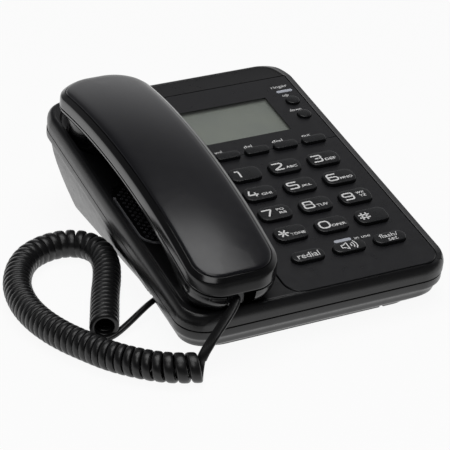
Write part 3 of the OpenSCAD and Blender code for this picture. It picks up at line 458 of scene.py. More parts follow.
def moulded(name, dark, light, rough, spread, grain, depth, specular=0.5):
    """Plastic from a mould, with its two close colours and its roughness with a spread.

    The width and the depth of its grain are in millimetres."""
    material, tree, surface = new_finish(name)
    place = put(tree, "TexCoord", {}, "Object")
    drift = put(tree, "TexNoise", {"Vector": place, "Scale": per_mm(DRIFT_WIDE), "Detail": 2.0})
    patch = put(tree, "TexNoise", {"Vector": place, "Scale": per_mm(PATCH_WIDE), "Detail": 3.0})
    grains = put(tree, "TexNoise", {"Vector": place, "Scale": per_mm(grain), "Detail": 2.0})
    tint = put(tree, "Mix", {"Factor": drift, 6: linear(dark), 7: linear(light)}, 2, data_type="RGBA")
    gloss = put(tree, "MapRange", {
        "Value": patch, "From Min": NOISE_LOW, "From Max": NOISE_HIGH,
        "To Min": rough - spread, "To Max": rough + spread})
    relief = put(tree, "Bump", {
        "Height": grains, "Strength": GRAIN_STRENGTH, "Distance": depth * MM})
    feed(tree, surface, {
        "Base Color": tint, "Roughness": gloss, "Normal": relief, "Specular IOR Level": specular})
    return material


satin_abs = moulded("satin_black_abs", "#151516", "#1a1a1c", 0.3, 0.03, 0.5, 0.005)
face_abs = moulded("fine_black_abs", "#17171a", "#1b1b1e", 0.3, 0.03, 0.45, 0.004)
key_abs = moulded("key_black_abs", "#151618", "#191a1c", 0.28, 0.03, 0.45, 0.004)
handset_abs = moulded("handset_black_abs", "#121213", "#161617", 0.17, 0.03, 0.6, 0.002)
# Painted highlight: a grey much lighter than the black plastic, so that the grille's hole lips and rib
# show bright.
painted_glint_grey = moulded("painted_highlight_bead_grey", "#5c5c60", "#66666b", 0.18, 0.02, 0.6, 0.001)
gloss_abs = moulded("polished_black_abs", "#131317", "#18181c", 0.24, 0.02, 0.6, 0.002)
cord_vinyl = moulded("cord_black_vinyl", "#151516", "#1b1b1c", 0.34, 0.05, 1.2, 0.012)
# Painted shade: near black and matt, with little shine, for the tongue that makes the groove behind the
# parting line look dark.
painted_groove_shade = moulded("painted_shade_groove_black", "#070708", "#0a0a0b", 0.9, 0.05, 0.6, 0.01, specular=0.1)
socket_abs = moulded("socket_black_nylon", "#0b0b0c", "#0f0f10", 0.45, 0.05, 0.6, 0.01)
inner_abs = moulded("inner_grey_abs", "#3a3a3d", "#414145", 0.55, 0.05, 0.6, 0.01)
foot_rubber = moulded("foot_black_rubber", "#1c1c1d", "#232324", 0.85, 0.06, 0.8, 0.04)
key_silicone = moulded("key_mat_silicone", "#343437", "#3c3c40", 0.7, 0.05, 1.5, 0.02)
board_resin = moulded("board_green_resin", "#17502f", "#1d5b38", 0.4, 0.05, 1.6, 0.02)
capsule_felt = moulded("microphone_black_felt", "#1c1c1d", "#29292a", 0.95, 0.03, 0.5, 0.05)
lamp_acrylic = moulded("lamp_white_acrylic", "#c3c7d2", "#cdd1da", 0.35, 0.03, 2, 0.004)
print_ink = moulded("white_print_ink", "#f2f2f2", "#fafaf9", 0.5, 0.04, 0.4, 0.003)
screen_grey = moulded("display_grey_green", "#747a76", "#878d80", 0.5, 0.04, 2.5, 0.002)
plug_smoke = moulded("plug_smoked_polycarbonate", "#1b1c1e", "#212224", 0.2, 0.03, 2, 0.004)
print("moulded finishes", len(bpy.data.materials))

# %% [markdown]
# The metal pieces are pressed or turned steel and gilded spring wire. The streaks of the tool are
# stretched noise. The lens over the display is clear acrylic, so thin that it only adds a reflection.

# %% Metals and the clear lens
STREAK_STRETCH = (1, 0.06, 1)
STREAK_SPREAD = 0.08
STREAK_DEEP = 0.004
STREAK_STRENGTH = 0.4


def worked_metal(name, colour, rough, streak):
    """Metal with fine tool streaks, streak millimetres wide."""
    material, tree, surface = new_finish(name)
    place = put(tree, "TexCoord", {}, "Object")
    stretched = put(tree, "Mapping", {"Vector": place, "Scale": STREAK_STRETCH})
    streaks = put(tree, "TexNoise", {"Vector": stretched, "Scale": per_mm(streak), "Detail": 3.0})
    gloss = put(tree, "MapRange", {
        "Value": streaks, "From Min": NOISE_LOW, "From Max": NOISE_HIGH,
        "To Min": rough - STREAK_SPREAD, "To Max": rough + STREAK_SPREAD})
    relief = put(tree, "Bump", {
        "Height": streaks, "Strength": STREAK_STRENGTH, "Distance": STREAK_DEEP * MM})
    feed(tree, surface, {
        "Base Color": linear(colour), "Metallic": 1.0, "Roughness": gloss, "Normal": relief})
    return material


zinc_steel = worked_metal("zinc_plated_steel", "#b7b9bb", 0.35, 0.6)
pressed_steel = worked_metal("pressed_steel", "#8d8f92", 0.42, 1.0)
gilt_wire = worked_metal("gilt_spring_wire", "#d8b25c", 0.25, 0.4)

HAZE_WIDE = 9
clear_acrylic, lens_tree, lens_surface = new_finish("clear_acrylic")
place = put(lens_tree, "TexCoord", {}, "Object")
haze = put(lens_tree, "TexNoise", {"Vector": place, "Scale": per_mm(HAZE_WIDE), "Detail": 2.0})
gloss = put(lens_tree, "MapRange", {
    "Value": haze, "From Min": NOISE_LOW, "From Max": NOISE_HIGH, "To Min": 0.05, "To Max": 0.12})
feed(lens_tree, lens_surface, {
    "Base Color": linear("#e8ece6"), "Alpha": 0.06, "IOR": 1.49, "Roughness": gloss})
print("all finishes", len(bpy.data.materials))

# %% [markdown]
# ## The case
# The upper half of the case and the face plates have nearly their final shapes already. A solid comes in
# as loose triangles, so a copy is merged and its flat areas are cleaned. Points may then be moved a
# little, hard edges get a small round as from a mould, and the curved parts are shaded smooth. The copy
# then stands for the solid.

# %% Soften a copy of a solid
MERGE = 0.004
FLAT_ENOUGH = math.radians(0.4)
HARD_EDGE = math.radians(50)
to_face = FACE.inverted()


def softened(name, material, edge, move=None):
    """A merged copy of the solid: points moved in the face's frame, rounds of edge millimetres."""
    piece = nodes[name].copy()
    piece.data = nodes[name].data.copy()
    for key in list(piece.keys()):
        del piece[key]
    piece.name = name + "_shell"
    bpy.context.scene.collection.objects.link(piece)
    piece.parent = None
    piece.matrix_world = WORLD
    pick(piece)
    bpy.ops.mesh.customdata_custom_splitnormals_clear()
    bpy.ops.object.mode_set(mode="EDIT")
    bpy.ops.mesh.select_all(action="SELECT")
    bpy.ops.mesh.remove_doubles(threshold=MERGE * MM)
    bpy.ops.mesh.dissolve_limited(angle_limit=FLAT_ENOUGH)
    bpy.ops.object.mode_set(mode="OBJECT")
    if move:
        for v in piece.data.vertices:
            v.co = FACE @ (move(to_face @ v.co / MM) * MM)
    apply(piece, "BEVEL", width=edge * MM, segments=3, limit_method="ANGLE", angle_limit=HARD_EDGE)
    smooth(piece, degrees=38)
    apply(piece, "WEIGHTED_NORMAL", keep_sharp=True)
    wear(piece, material)
    stand_for(piece, body_of_node[name], name)
    return piece


print("bodies with solids", len(set(body_of_node.values())))

# %% [markdown]
# On the real case the border stands almost level with the face plates, so that only a fine groove shows
# round them, and the rear and right edges roll off a little further out. The plates lie in a recess with
# a dark gap, and another gap runs between them under the display keys, so their edges are drawn in. The
# holes of the two ringer buttons are small, so they are narrowed and moved a little to the front.

# %% Upper case and face plates
CASE_WIDE = 144
CASE_LONG = 198
CASE_CORNER = 15
CASE_EDGE = 4.5
EDGE_SLACK = 1
DECK = -1.2
BORDER_LIFT = 0.85
BORDER_STEP = 0.5
REAR_MORE = 3.0
REAR_BAND = 8
RIGHT_MORE = 2.6
RIGHT_FROM = 45
RIGHT_BAND = 25
RIM_WIDE = 1.65
EDGE_FULL = 0.6
RINGER_PLACES = ((61.6, 60.4), (61.6, 45.9))
RINGER_REACH = 5.4
RINGER_HOLE = 8.2
RINGER_DOWN = 0.6
PLATE_LEFT = -15.7
PLATE_RIGHT = 69.3
PLATE_FRONT = -96
PLATE_BACK = 86
PLATE_SEAM = 20.6
PLATE_CORNER = 10
PLATE_BAND = 0.6
SEAM_BAND = 0.4
EDGE_PULL = 0.4
REAR_PULL = 0.9
SEAM_PULL = 0.16


def eased(u):
    """A smooth step from 0 to 1."""
    u = min(max(u, 0), 1)
    return u * u * (3 - 2 * u)


def moved_right(x):
    """How far a point near the right edge is moved out."""
    return RIGHT_MORE * eased((x - RIGHT_FROM) / RIGHT_BAND)


def levelled(p):
    """A point of the upper case: the border lifted and fuller, the rear and right edges moved out."""
    over_x = max(abs(p.x) - CASE_WIDE / 2 + CASE_CORNER, 0)
    over_y = max(abs(p.y) - CASE_LONG / 2 + CASE_CORNER, 0)
    from_edge = CASE_CORNER - math.hypot(over_x, over_y)
    outward_part = 1 - from_edge / CASE_EDGE
    if 0 < outward_part < 1 and p.z > DECK - CASE_EDGE - BORDER_STEP:
        p.z += EDGE_FULL * 4 * outward_part * (1 - outward_part)
    band = CASE_EDGE + EDGE_SLACK
    if abs(p.x) > CASE_WIDE / 2 - band or abs(p.y) > CASE_LONG / 2 - band:
        p.z += BORDER_LIFT * min(max((p.z - DECK) / CASE_EDGE + 1, 0), 1)
    elif p.z > DECK - BORDER_STEP:
        p.z += BORDER_LIFT
    if from_edge < RIM_WIDE:
        p.x += moved_right(p.x)
    p.y += REAR_MORE * eased((p.y - PLATE_BACK - SEAM_BAND) / REAR_BAND)
    return p


def drawn_in(p):
    """A point of a face plate, moved off the outer edge, the seam or a ringer hole if it lies on it."""
    inner_x = min(max(p.x, PLATE_LEFT + PLATE_CORNER), PLATE_RIGHT - PLATE_CORNER)
    inner_y = max(p.y, PLATE_FRONT + PLATE_CORNER)
    out = Vector((p.x - inner_x, p.y - inner_y, 0))
    if out.length > PLATE_CORNER - PLATE_BAND:
        p = p - out.normalized() * EDGE_PULL
    if p.y > PLATE_BACK - PLATE_BAND:
        p.y -= REAR_PULL
    if abs(p.y - PLATE_SEAM) < SEAM_BAND:
        p.y += math.copysign(SEAM_PULL, p.y - PLATE_SEAM)
    for x, y in RINGER_PLACES:
        from_hole = Vector((p.x - x, p.y - y, 0))
        if from_hole.length < RINGER_REACH:
            p = Vector((x, y - RINGER_DOWN, p.z)) + from_hole.normalized() * RINGER_HOLE / 2
    return p


upper_case = softened("upper_case", satin_abs, 0.35, levelled)
softened("face_plate", face_abs, 0.2, drawn_in)
softened("display_panel", face_abs, 0.2, drawn_in)
print("upper case faces", len(upper_case.data.polygons), "border raised", BORDER_LIFT, "mm")

# %% [markdown]
# The lower case is a tray on a flared stand. The tray hangs under the upper case with a dark groove
# between them, its rim rolls inward, and the stand's walls run down to a foot with wide round corners.
# Its skin is laid through level rings of a rounded rectangle: the upper ones lie in the sloping face's
# frame and the lowest ones on the floor. A Solidify modifier then gives the skin its wall.

# %% Rings of the lower case
PARTING = -8.7
CORNER_POINTS = 14
STAND_HALF = 58.5
STAND_FRONT = -87
STAND_REAR = 93
STAND_CORNER = 13
STAND_LOW = 0.8
LEFT_MORE = 2.0
LEFT_FROM = 30
LEFT_BAND = 25
WALL = 2.2
NECK_IN = 3.2
NECK_DOWN = 11.4
NECK_CORNER = 12
FOOT_HIGH = 1.4
FOOT_IN = 1.2
FOOT_ROUND = ((0.4, 0.5), (FOOT_IN, 0))
FLOOR_CLOSING = (0.66, 0.33, 0.0)
FLARE = 1.35
FLARE_STEPS = (0, 0.12, 0.3, 0.5, 0.7, 0.88, 1)
SKIN_MERGE = 0.002
RIM = [
    (1.5, 0.95), (0.5, 0.98), (0.3, 1.2), (0.3, 4.6), (0.5, 5.5), (1.1, 6.3), (1.8, 7.2), (2.4, 8.3),
    (2.8, 9.6),
]


def arc(x, y, radius, start, sweep, steps):
    """Points of an arc about x and y, from a start angle through a sweep, both in degrees."""
    angles = [math.radians(start + sweep * i / steps) for i in range(steps + 1)]
    return [(x + radius * math.cos(a), y + radius * math.sin(a)) for a in angles]


def rounded_ring(half, fore, aft, corner):
    """Points round a rectangle with round corners, from its rear right corner on."""
    made = []
    for cx, cy, turn in ((1, 1, 0), (-1, 1, 90), (-1, -1, 180), (1, -1, 270)):
        mid_y = aft - corner if cy > 0 else fore + corner
        made += arc(cx * (half - corner), mid_y, corner, turn, 90, CORNER_POINTS)
    return made


def tray_ring(inset, z, corner=None):
    """A ring in the face's frame, set in from the case's plan."""
    corner = corner or CASE_CORNER - inset
    rear = CASE_LONG / 2 + REAR_MORE - inset
    plan = rounded_ring(CASE_WIDE / 2 - inset, inset - CASE_LONG / 2, rear, corner)
    return [FACE @ mm(x + moved_right(x), y, z) for x, y in plan]


def floor_ring(inset, z, narrow=1.0):
    """A ring on the floor, set in from the stand's foot."""
    corner = STAND_CORNER - inset
    plan = rounded_ring(STAND_HALF - inset, STAND_FRONT + inset, STAND_REAR - inset, corner)
    made = []
    for x, y in plan:
        moved_left = LEFT_MORE * eased((-x - LEFT_FROM) / LEFT_BAND)
        made.append(mm((x - moved_left) * narrow, y, z))
    return made


def ring_skin(name, rings):
    """A skin through rings of points, laid on a grid whose seam is merged."""
    across = len(rings[0])
    bpy.ops.mesh.primitive_grid_add(x_subdivisions=across, y_subdivisions=len(rings) - 1, size=1)
    piece = bpy.context.object
    piece.name = name
    for i, v in enumerate(piece.data.vertices):
        row, column = divmod(i, across + 1)
        v.co = rings[row][column % across]
    bpy.ops.object.mode_set(mode="EDIT")
    bpy.ops.mesh.select_all(action="SELECT")
    bpy.ops.mesh.remove_doubles(threshold=SKIN_MERGE * MM)
    bpy.ops.mesh.normals_make_consistent(inside=False)
    bpy.ops.object.mode_set(mode="OBJECT")
    return piece


neck = tray_ring(NECK_IN, PARTING - NECK_DOWN, NECK_CORNER)
foot = floor_ring(0, STAND_LOW + FOOT_HIGH)
shell_rings = [tray_ring(inset, PARTING - down) for inset, down in RIM]
for u in FLARE_STEPS:
    flare = u ** FLARE
    drop = Vector((flare, flare, u))
    shell_rings.append([a + (b - a) * drop for a, b in zip(neck, foot)])
shell_rings += [floor_ring(inset, STAND_LOW + up) for inset, up in FOOT_ROUND]
shell_rings += [floor_ring(FOOT_IN, STAND_LOW, s) for s in FLOOR_CLOSING]
lower_shell = ring_skin("lower_case_shell", shell_rings)
apply(lower_shell, "SOLIDIFY", thickness=WALL * MM, offset=-1)
print("lower case faces", len(lower_shell.data.polygons))

# %% [markdown]
# The stand has posts for the four case screws, seats for the feet, the mouths of the line and cord
# sockets, and a slit for the microphone. They are joined to the shell or cut from it one by one.
# A tongue of near black, matt plastic stands back inside the parting line: its colour is painted
# shade, so that the groove there looks dark.

# %% Posts, seats and sockets of the lower case
POST_WIDE = 9.4
POST_HIGH = -15.7
POST_SUNK = 1.1
BEYOND = 1
BORE_WIDE = 6.4
BORE_LOW = -70
THREAD_WIDE = 3.4
HEAD_HIGH = -19.7
SCREW_PLACES = ((-50, -62), (24, -83), (-50, 42), (6, 76))
FOOT_PLACES = ((-45.5, -74), (-45.5, 80), (45.5, -74), (45.5, 80))
FOOT_SEAT_WIDE = 12.1
FOOT_SEAT_HIGH = 1.8
LINE_MOUTH = ((13.3, 80, 11.7), (26.7, 104, 22.3))
CORD_MOUTH = ((-80, -49.3, 3.35), (-46, -37.7, 13.75))
MICROPHONE_SLIT = ((37.75, -99, -2), (40.25, -80, 3.3))
TONGUE = ((2, 0.02), (2, 2), (2.7, 2), (2.7, 0.02), (2, 0.02))


def cut_or_join(piece, tool, operation):
    """Applies one boolean and removes its tool."""
    apply(piece, "BOOLEAN", operation=operation, solver="EXACT", object=tool)
    bpy.data.objects.remove(tool)


def drum(place, z0, z1, radius, sides=40, frame_of=FACE):
    """An upright cylinder between two heights of a frame."""
    bpy.ops.mesh.primitive_cylinder_add(vertices=sides, radius=radius * MM, depth=(z1 - z0) * MM)
    tool = bpy.context.object
    tool.data.transform(frame_of @ Matrix.Translation(mm(place[0], place[1], (z0 + z1) / 2)))
    return tool


def block(low_corner, high_corner, frame_of=FACE):
    """A box between two corners of a frame."""
    bpy.ops.mesh.primitive_cube_add(size=1)
    tool = bpy.context.object
    a = mm(*low_corner)
    b = mm(*high_corner)
    size = Matrix.Diagonal((*(b - a), 1))
    tool.data.transform(frame_of @ Matrix.Translation((a + b) / 2) @ size)
    return tool


for x, y in SCREW_PLACES:
    foot_z = (STAND_LOW + POST_SUNK - FACE_HIGH - y * math.sin(TILT)) / math.cos(TILT)
    cut_or_join(lower_shell, drum((x, y), foot_z, POST_HIGH, POST_WIDE / 2), "UNION")
for place in SCREW_PLACES:
    cut_or_join(lower_shell, drum(place, BORE_LOW, HEAD_HIGH, BORE_WIDE / 2), "DIFFERENCE")
    thread = drum(place, HEAD_HIGH - BEYOND, POST_HIGH + BEYOND, THREAD_WIDE / 2)
    cut_or_join(lower_shell, thread, "DIFFERENCE")
for place in FOOT_PLACES:
    seat = drum(place, -2 * BEYOND, FOOT_SEAT_HIGH, FOOT_SEAT_WIDE / 2, frame_of=WORLD)
    cut_or_join(lower_shell, seat, "DIFFERENCE")
for low_corner, high_corner in (LINE_MOUTH, CORD_MOUTH, MICROPHONE_SLIT):
    cut_or_join(lower_shell, block(low_corner, high_corner, WORLD), "DIFFERENCE")
tongue = ring_skin("tongue", [tray_ring(inset, PARTING - down) for inset, down in TONGUE])
# Painted shade: the tongue's near black finish makes the groove look dark.
wear(tongue, painted_groove_shade)
wear(lower_shell, satin_abs)
smooth(join(lower_shell, tongue))
stand_for(lower_shell, "base", "lower_case")
print("lower case done", len(lower_shell.data.polygons))

# %% [markdown]
# ## Keys
# A key is a cap on a thin flange that keeps it in the plate, with a small pusher below. One cap of each
# size is drawn: a plane gets round corners, is extruded into the flange, set in, extruded into the cap,
# and its rim is bevelled. The top is set in again and raised a little, which gives the soft crown that
# catches the light along the rim. The cap is then copied to each place.

# %% Key caps
FLANGE_LOW = -3.7
FLANGE_HIGH = -2.7
FLANGE_LIP = 1.0
PUSHER_LOW = -5.0
PUSHER_WIDE = 4.0
CROWN = 0.08
CROWN_IN = 0.8
KEY_TOP = 2.0
JUST_UNDER = 0.999


def key_cap(name, wide, deep, corner, rise, rim, pusher_y=0.0):
    """A key cap with flange and pusher, flat on the face at the origin. It is round if corner is 0."""
    if corner:
        bpy.ops.mesh.primitive_plane_add(size=1)
    else:
        bpy.ops.mesh.primitive_circle_add(vertices=48, radius=0.5, fill_type="NGON")
    cap = bpy.context.object
    cap.name = name
    bpy.ops.object.mode_set(mode="EDIT")
    bpy.ops.transform.resize(value=((wide + 2 * FLANGE_LIP) * MM, (deep + 2 * FLANGE_LIP) * MM, 1))
    bpy.ops.transform.translate(value=mm(0, 0, FLANGE_LOW))
    if corner:
        offset = (corner + FLANGE_LIP) * JUST_UNDER * MM
        bpy.ops.mesh.bevel(offset=offset, segments=10, affect="VERTICES")
    flange_up = mm(0, 0, FLANGE_HIGH - FLANGE_LOW)
    bpy.ops.mesh.extrude_region_move(TRANSFORM_OT_translate={"value": flange_up})
    bpy.ops.mesh.inset(thickness=FLANGE_LIP * MM)
    cap_up = mm(0, 0, rise - CROWN - FLANGE_HIGH)
    bpy.ops.mesh.extrude_region_move(TRANSFORM_OT_translate={"value": cap_up})
    bpy.ops.mesh.bevel(offset=rim * MM, segments=5, affect="EDGES")
    bpy.ops.mesh.select_all(action="DESELECT")
    shape = bmesh.from_edit_mesh(cap.data)
    top = max(shape.faces, key=lambda f: f.calc_center_median().z + f.calc_area())
    top.select_set(True)
    bmesh.update_edit_mesh(cap.data)
    bpy.ops.mesh.inset(thickness=CROWN_IN * MM)
    bpy.ops.transform.translate(value=mm(0, 0, CROWN))
    bpy.ops.mesh.select_all(action="DESELECT")
    middle = mm(0, pusher_y, (FLANGE_LOW + PUSHER_LOW) / 2)
    bpy.ops.mesh.primitive_cylinder_add(
        radius=PUSHER_WIDE / 2 * MM, depth=(FLANGE_LOW - PUSHER_LOW) * MM, location=middle)
    bpy.ops.mesh.select_all(action="SELECT")
    bpy.ops.mesh.normals_make_consistent(inside=False)
    bpy.ops.object.mode_set(mode="OBJECT")
    smooth(cap, degrees=42)
    return cap


CAPS = {
    "number": key_cap("number_cap", 17.3, 11, 4, KEY_TOP, 0.35),
    "function": key_cap("function_cap", 17.6, 8, 3.9, KEY_TOP, 0.5),
    "soft": key_cap("soft_cap", 13.4, 5.8, 2.1, 1.95, 0.32),
    "ringer": key_cap("ringer_cap", 7.5, 7.5, 0, 1.4, 0.45, RINGER_DOWN),
}
KEY_COLUMNS = (5.3, 28.3, 51.3)
SOFT_COLUMNS = (4.2, 21.1, 38, 54.9)
KEY_ROWS = [
    ("number", KEY_COLUMNS, 1.9, ("key_1", "key_2", "key_3")),
    ("number", KEY_COLUMNS, -16.2, ("key_4", "key_5", "key_6")),
    ("number", KEY_COLUMNS, -34.3, ("key_7", "key_8", "key_9")),
    ("number", KEY_COLUMNS, -52.4, ("key_star", "key_0", "key_hash")),
    ("function", KEY_COLUMNS, -72, ("redial_key", "speaker_key", "flash_key")),
    ("soft", SOFT_COLUMNS, PLATE_SEAM, ("volume_key", "delete_key", "dial_key", "out_key")),
]
KEY_PLACES = {}
for kind, columns, y, names in KEY_ROWS:
    for x, name in zip(columns, names):
        KEY_PLACES[name] = (kind, x, y)
for (x, y), name in zip(RINGER_PLACES, ("ringer_up_button", "ringer_down_button")):
    KEY_PLACES[name] = ("ringer", x, y - RINGER_DOWN)
for name, (kind, x, y) in KEY_PLACES.items():
    key = linked(name + "_cap", CAPS[kind].data.copy())
    key.data.transform(FACE @ Matrix.Translation(mm(x, y)))
    wear(key, key_abs)
    stand_for(key, body_of_node[name], name)
for cap in CAPS.values():
    bpy.data.objects.remove(cap)
print("keys", len(KEY_PLACES))

# %% [markdown]
# ## Printing
# The keys carry wide squared numbers with small letters beside them, and the face carries a few plain
# words. A number is drawn as a line with rounded corners that is given a width, as a pen plotter would.
# The words are text turned into mesh and fitted to the box that they fill on the real face.

# %% Printed strokes and words
INK = 0.03
STROKE = 0.95
FINE_STROKE = 0.88
ARC_STEPS = 5
MOST_CUT = 0.48
WORDS_BOLD = 0.008


def round_corners(points, radius, closed):
    """The line through the points with its corners turned into arcs."""
    made = []
    count = len(points)
    for i, p in enumerate(points):
        if not closed and i in (0, count - 1):
            made.append(p)
            continue
        to_last = points[i - 1] - p
        to_next = points[(i + 1) % count] - p
        cut_back = min(radius, MOST_CUT * to_last.length, MOST_CUT * to_next.length)
        a = p + to_last.normalized() * cut_back
        b = p + to_next.normalized() * cut_back
        for k in range(ARC_STEPS + 1):
            u = k / ARC_STEPS
            made.append(a * (1 - u) ** 2 + p * 2 * u * (1 - u) + b * u * u)
    return made


def stroke_piece(name, lines, width):
    """A flat piece of ink along lines of points in millimetres, each with its corner radius."""
    corners = []
    faces = []
    for points, radius, closed in lines:
        line = round_corners([Vector(p) for p in points], radius, closed)
        first_corner = len(corners)
        count = len(line)
        for i, p in enumerate(line):
            back = line[i - 1] if closed else line[max(i - 1, 0)]
            ahead = line[(i + 1) % count] if closed else line[min(i + 1, count - 1)]
            way = (ahead - back).normalized()
            side = Vector((-way.y, way.x)) * width / 2
            corners.append(mm(p.x - side.x, p.y - side.y))
            corners.append(mm(p.x + side.x, p.y + side.y))
        for i in range(count if closed else count - 1):
            a = first_corner + 2 * i
            b = first_corner + 2 * ((i + 1) % count)
            faces.append((a, b, b + 1, a + 1))
    return mesh_piece(name, corners, faces)


def word_piece(words, x, y, wide, high, bold=WORDS_BOLD):
    """Words as a flat mesh that fills a box of the given size, centred at x and y millimetres."""
    bpy.ops.object.text_add()
    piece = bpy.context.object
    piece.data.body = words
    piece.data.resolution_u = 3
    piece.data.offset = bold
    bpy.ops.object.convert(target="MESH")
    piece = bpy.context.object
    spots = [v.co for v in piece.data.vertices]
    low = Vector((min(p.x for p in spots), min(p.y for p in spots), 0))
    size = Vector((max(p.x for p in spots), max(p.y for p in spots), 0)) - low
    fit = Matrix.Diagonal((wide * MM / size.x, high * MM / size.y, 1, 1))
    corner = Matrix.Translation(mm(x - wide / 2, y - high / 2))
    piece.data.transform(corner @ fit @ Matrix.Translation(-low))
    return piece


def print_on(name, pieces, place, body):
    """Joins pieces of ink, gives them a film's thickness, and lays them at a place of the face."""
    ink = join(*pieces)
    ink.name = name
    apply(ink, "SOLIDIFY", thickness=INK * MM, offset=0)
    ink.data.transform(FACE @ Matrix.Translation(mm(*place)))
    wear(ink, print_ink)
    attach(ink, body)


def print_key(name, pieces):
    """Prints pieces of ink on a key."""
    x, y = KEY_PLACES[name][1:]
    print_on(name + "_print", pieces, (x, y, KEY_TOP), body_of_node[name])


print("ink film", INK, "mm, stroke", STROKE, "mm")

# %% [markdown]
# The numbers sit at the left of their keys and the letters at the right, on the numbers' foot line.
# Each number is given by the corners of its lines, in a box a little over five millimetres wide. With
# each line go the radius of its corners and whether it is closed.

# %% Print the number keys
W = 2.65
H = 2.65
M = 0.15
NUMBERS_LEFT = 4.0
LETTERS_LEFT = 0.7
LETTERS_BOLD = 0.028
NUMBERS = {
    "key_1": [([(-1.2, H), (0.9, H), (0.9, -H)], 1.4, False)],
    "key_2": [([(-W, H), (W, H), (W, M + 0.5), (-W, -H), (W + 0.2, -H)], 1.1, False)],
    "key_3": [([(-W, H), (W, H), (W, M), (-0.9, M)], 1.1, False),
              ([(0.6, M), (W, M), (W, -H), (-W, -H)], 1.1, False)],
    "key_4": [([(-1.2, H), (-W, -1.0), (W + 0.2, -1.0)], 0.8, False),
              ([(1.3, 0.9), (1.3, -H)], 0, False)],
    "key_5": [([(W, H), (-W, H), (-W, M + 0.1), (W, M + 0.1), (W, -H), (-W, -H)], 0.9, False)],
    "key_6": [([(W - 0.2, H), (-W, H), (-W, -H), (W, -H), (W, M), (-W + 0.3, M)], 1.3, False)],
    "key_7": [([(-W, H), (W, H), (-0.4, -H)], 0.7, False)],
    "key_8": [([(-W + 0.3, H), (W - 0.3, H), (W - 0.3, M), (-W + 0.3, M)], 0.9, True),
              ([(-W, M), (W, M), (W, -H), (-W, -H)], 1.1, True)],
    "key_9": [([(W - 0.3, -M), (-W, -M), (-W, H), (W, H), (W, -H), (-W + 0.2, -H)], 1.3, False)],
    "key_0": [([(-W, H), (W, H), (W, -H), (-W, -H)], 2.2, True)],
    "key_star": [([(-2.9, 0), (2.9, 0)], 0, False), ([(-1.6, -2.5), (1.6, 2.5)], 0, False),
                 ([(-1.6, 2.5), (1.6, -2.5)], 0, False)],
    "key_hash": [([(-3, 1.1), (3, 1.1)], 0, False), ([(-3, -1.1), (3, -1.1)], 0, False),
                 ([(-1.5, -2.8), (-0.9, 2.8)], 0, False), ([(0.9, -2.8), (1.5, 2.8)], 0, False)],
}
LETTERS = {
    "key_2": [("ABC", 3.9, -1.8, 6.6, 2.1)], "key_3": [("DEF", 3.9, -1.8, 6.4, 2.1)],
    "key_4": [("GHI", 3.8, -1.8, 5.9, 2.1)], "key_5": [("JKL", 3.8, -1.8, 6.0, 2.1)],
    "key_6": [("MNO", 4.0, -1.8, 7.2, 2.1)],
    "key_7": [("PQ", 4.2, 1.5, 4.2, 2.0), ("RS", 4.6, -1.2, 4.0, 1.9)],
    "key_8": [("TUV", 3.9, -1.8, 6.6, 2.1)],
    "key_9": [("WX", 4.2, 1.5, 5.0, 1.9), ("YZ", 4.6, -1.2, 4.0, 1.9)],
    "key_0": [("OPER", 4.0, -1.8, 8.2, 2.0)], "key_star": [("TONE", 4.0, -1.8, 8.2, 2.0)],
}
for name, lines in NUMBERS.items():
    left = []
    for points, radius, closed in lines:
        left.append(([(x - NUMBERS_LEFT, y) for x, y in points], radius, closed))
    fine = name in ("key_star", "key_hash")
    pieces = [stroke_piece(name + "_number", left, FINE_STROKE if fine else STROKE)]
    for words, x, y, wide, high in LETTERS.get(name, []):
        pieces.append(word_piece(words, x - LETTERS_LEFT, y, wide, high, LETTERS_BOLD))
    print_key(name, pieces)
print("printed keys", len(NUMBERS))

# %% [markdown]
# The three lower keys carry a few words and a little loudspeaker with its waves. The face carries the
# names of the display keys, the ringer keys and the two lamps. All of it is the same white ink.

# %% Print the words and the loudspeaker sign
SIGN_STROKE = 0.6
SIGN_CORNER = 0.1
SIGN_BOX = [(-4.2, 1.1), (-2.8, 1.1), (-0.8, 2.6), (-0.8, -2.6), (-2.8, -1.1), (-4.2, -1.1)]
WAVE_X = -0.3
WAVE_RADII = (1.5, 3, 4.5)
WAVE_SPREAD = 84
WAVE_STEPS = 6
print_key("redial_key", [word_piece("redial", 0, -0.2, 12, 4.1)])
flash_words = [word_piece("flash/", -0.2, 1.3, 10.3, 3.1), word_piece("set", 0.8, -2.0, 5.3, 2.5)]
print_key("flash_key", flash_words)
sign = [(SIGN_BOX, SIGN_CORNER, True)]
for radius in WAVE_RADII:
    wave = arc(WAVE_X, 0, radius, -WAVE_SPREAD / 2, WAVE_SPREAD, WAVE_STEPS)
    sign.append((wave, SIGN_CORNER, False))
print_key("speaker_key", [stroke_piece("speaker_sign", sign, SIGN_STROKE)])
PANEL_WORDS = [
    ("vol", 1.1, 26.6, 4.4, 2.5), ("del", 18.6, 26.7, 4.8, 2.6), ("dial", 36.0, 26.6, 6.4, 2.6),
    ("out", 53.2, 26.5, 5.0, 2.1), ("ringer", 60.7, 75.2, 10, 3.0), ("up", 60.4, 65.9, 3.8, 2.3),
    ("down", 59.2, 51.6, 7.0, 2.4), ("in use", 39.3, -65.2, 8.8, 2.2),
]
print_on("panel_print", [word_piece(*row) for row in PANEL_WORDS], (0, 0, 0), "base")
print("words on the face", len(PANEL_WORDS))

# %% [markdown]
# ## Display and lamps
# The display sits under a clear lens in its window. The two lamps are small bars of milky acrylic.

# %% Display and lamp pieces
lens = softened("display_lens", clear_acrylic, 0.1)
screen = softened("lcd_module", screen_grey, 0.1)
softened("ringer_light", lamp_acrylic, 0.25)
softened("in_use_light", lamp_acrylic, 0.25)
print("display pieces", lens.name, screen.name)

# %% [markdown]
# ## Handset
# The handset is three mouldings: a lower body with the ear cup, an upper cover, and a polished inlay on
# top with a fine groove round it. Each is a skin through level rings of one rounded outline, bent over
# an arch. A grid is added, its rows are laid on the rings, and its seam is merged. The first and the
# last rings shrink to the middle line, so that the skin closes with even faces and no fan of triangles.

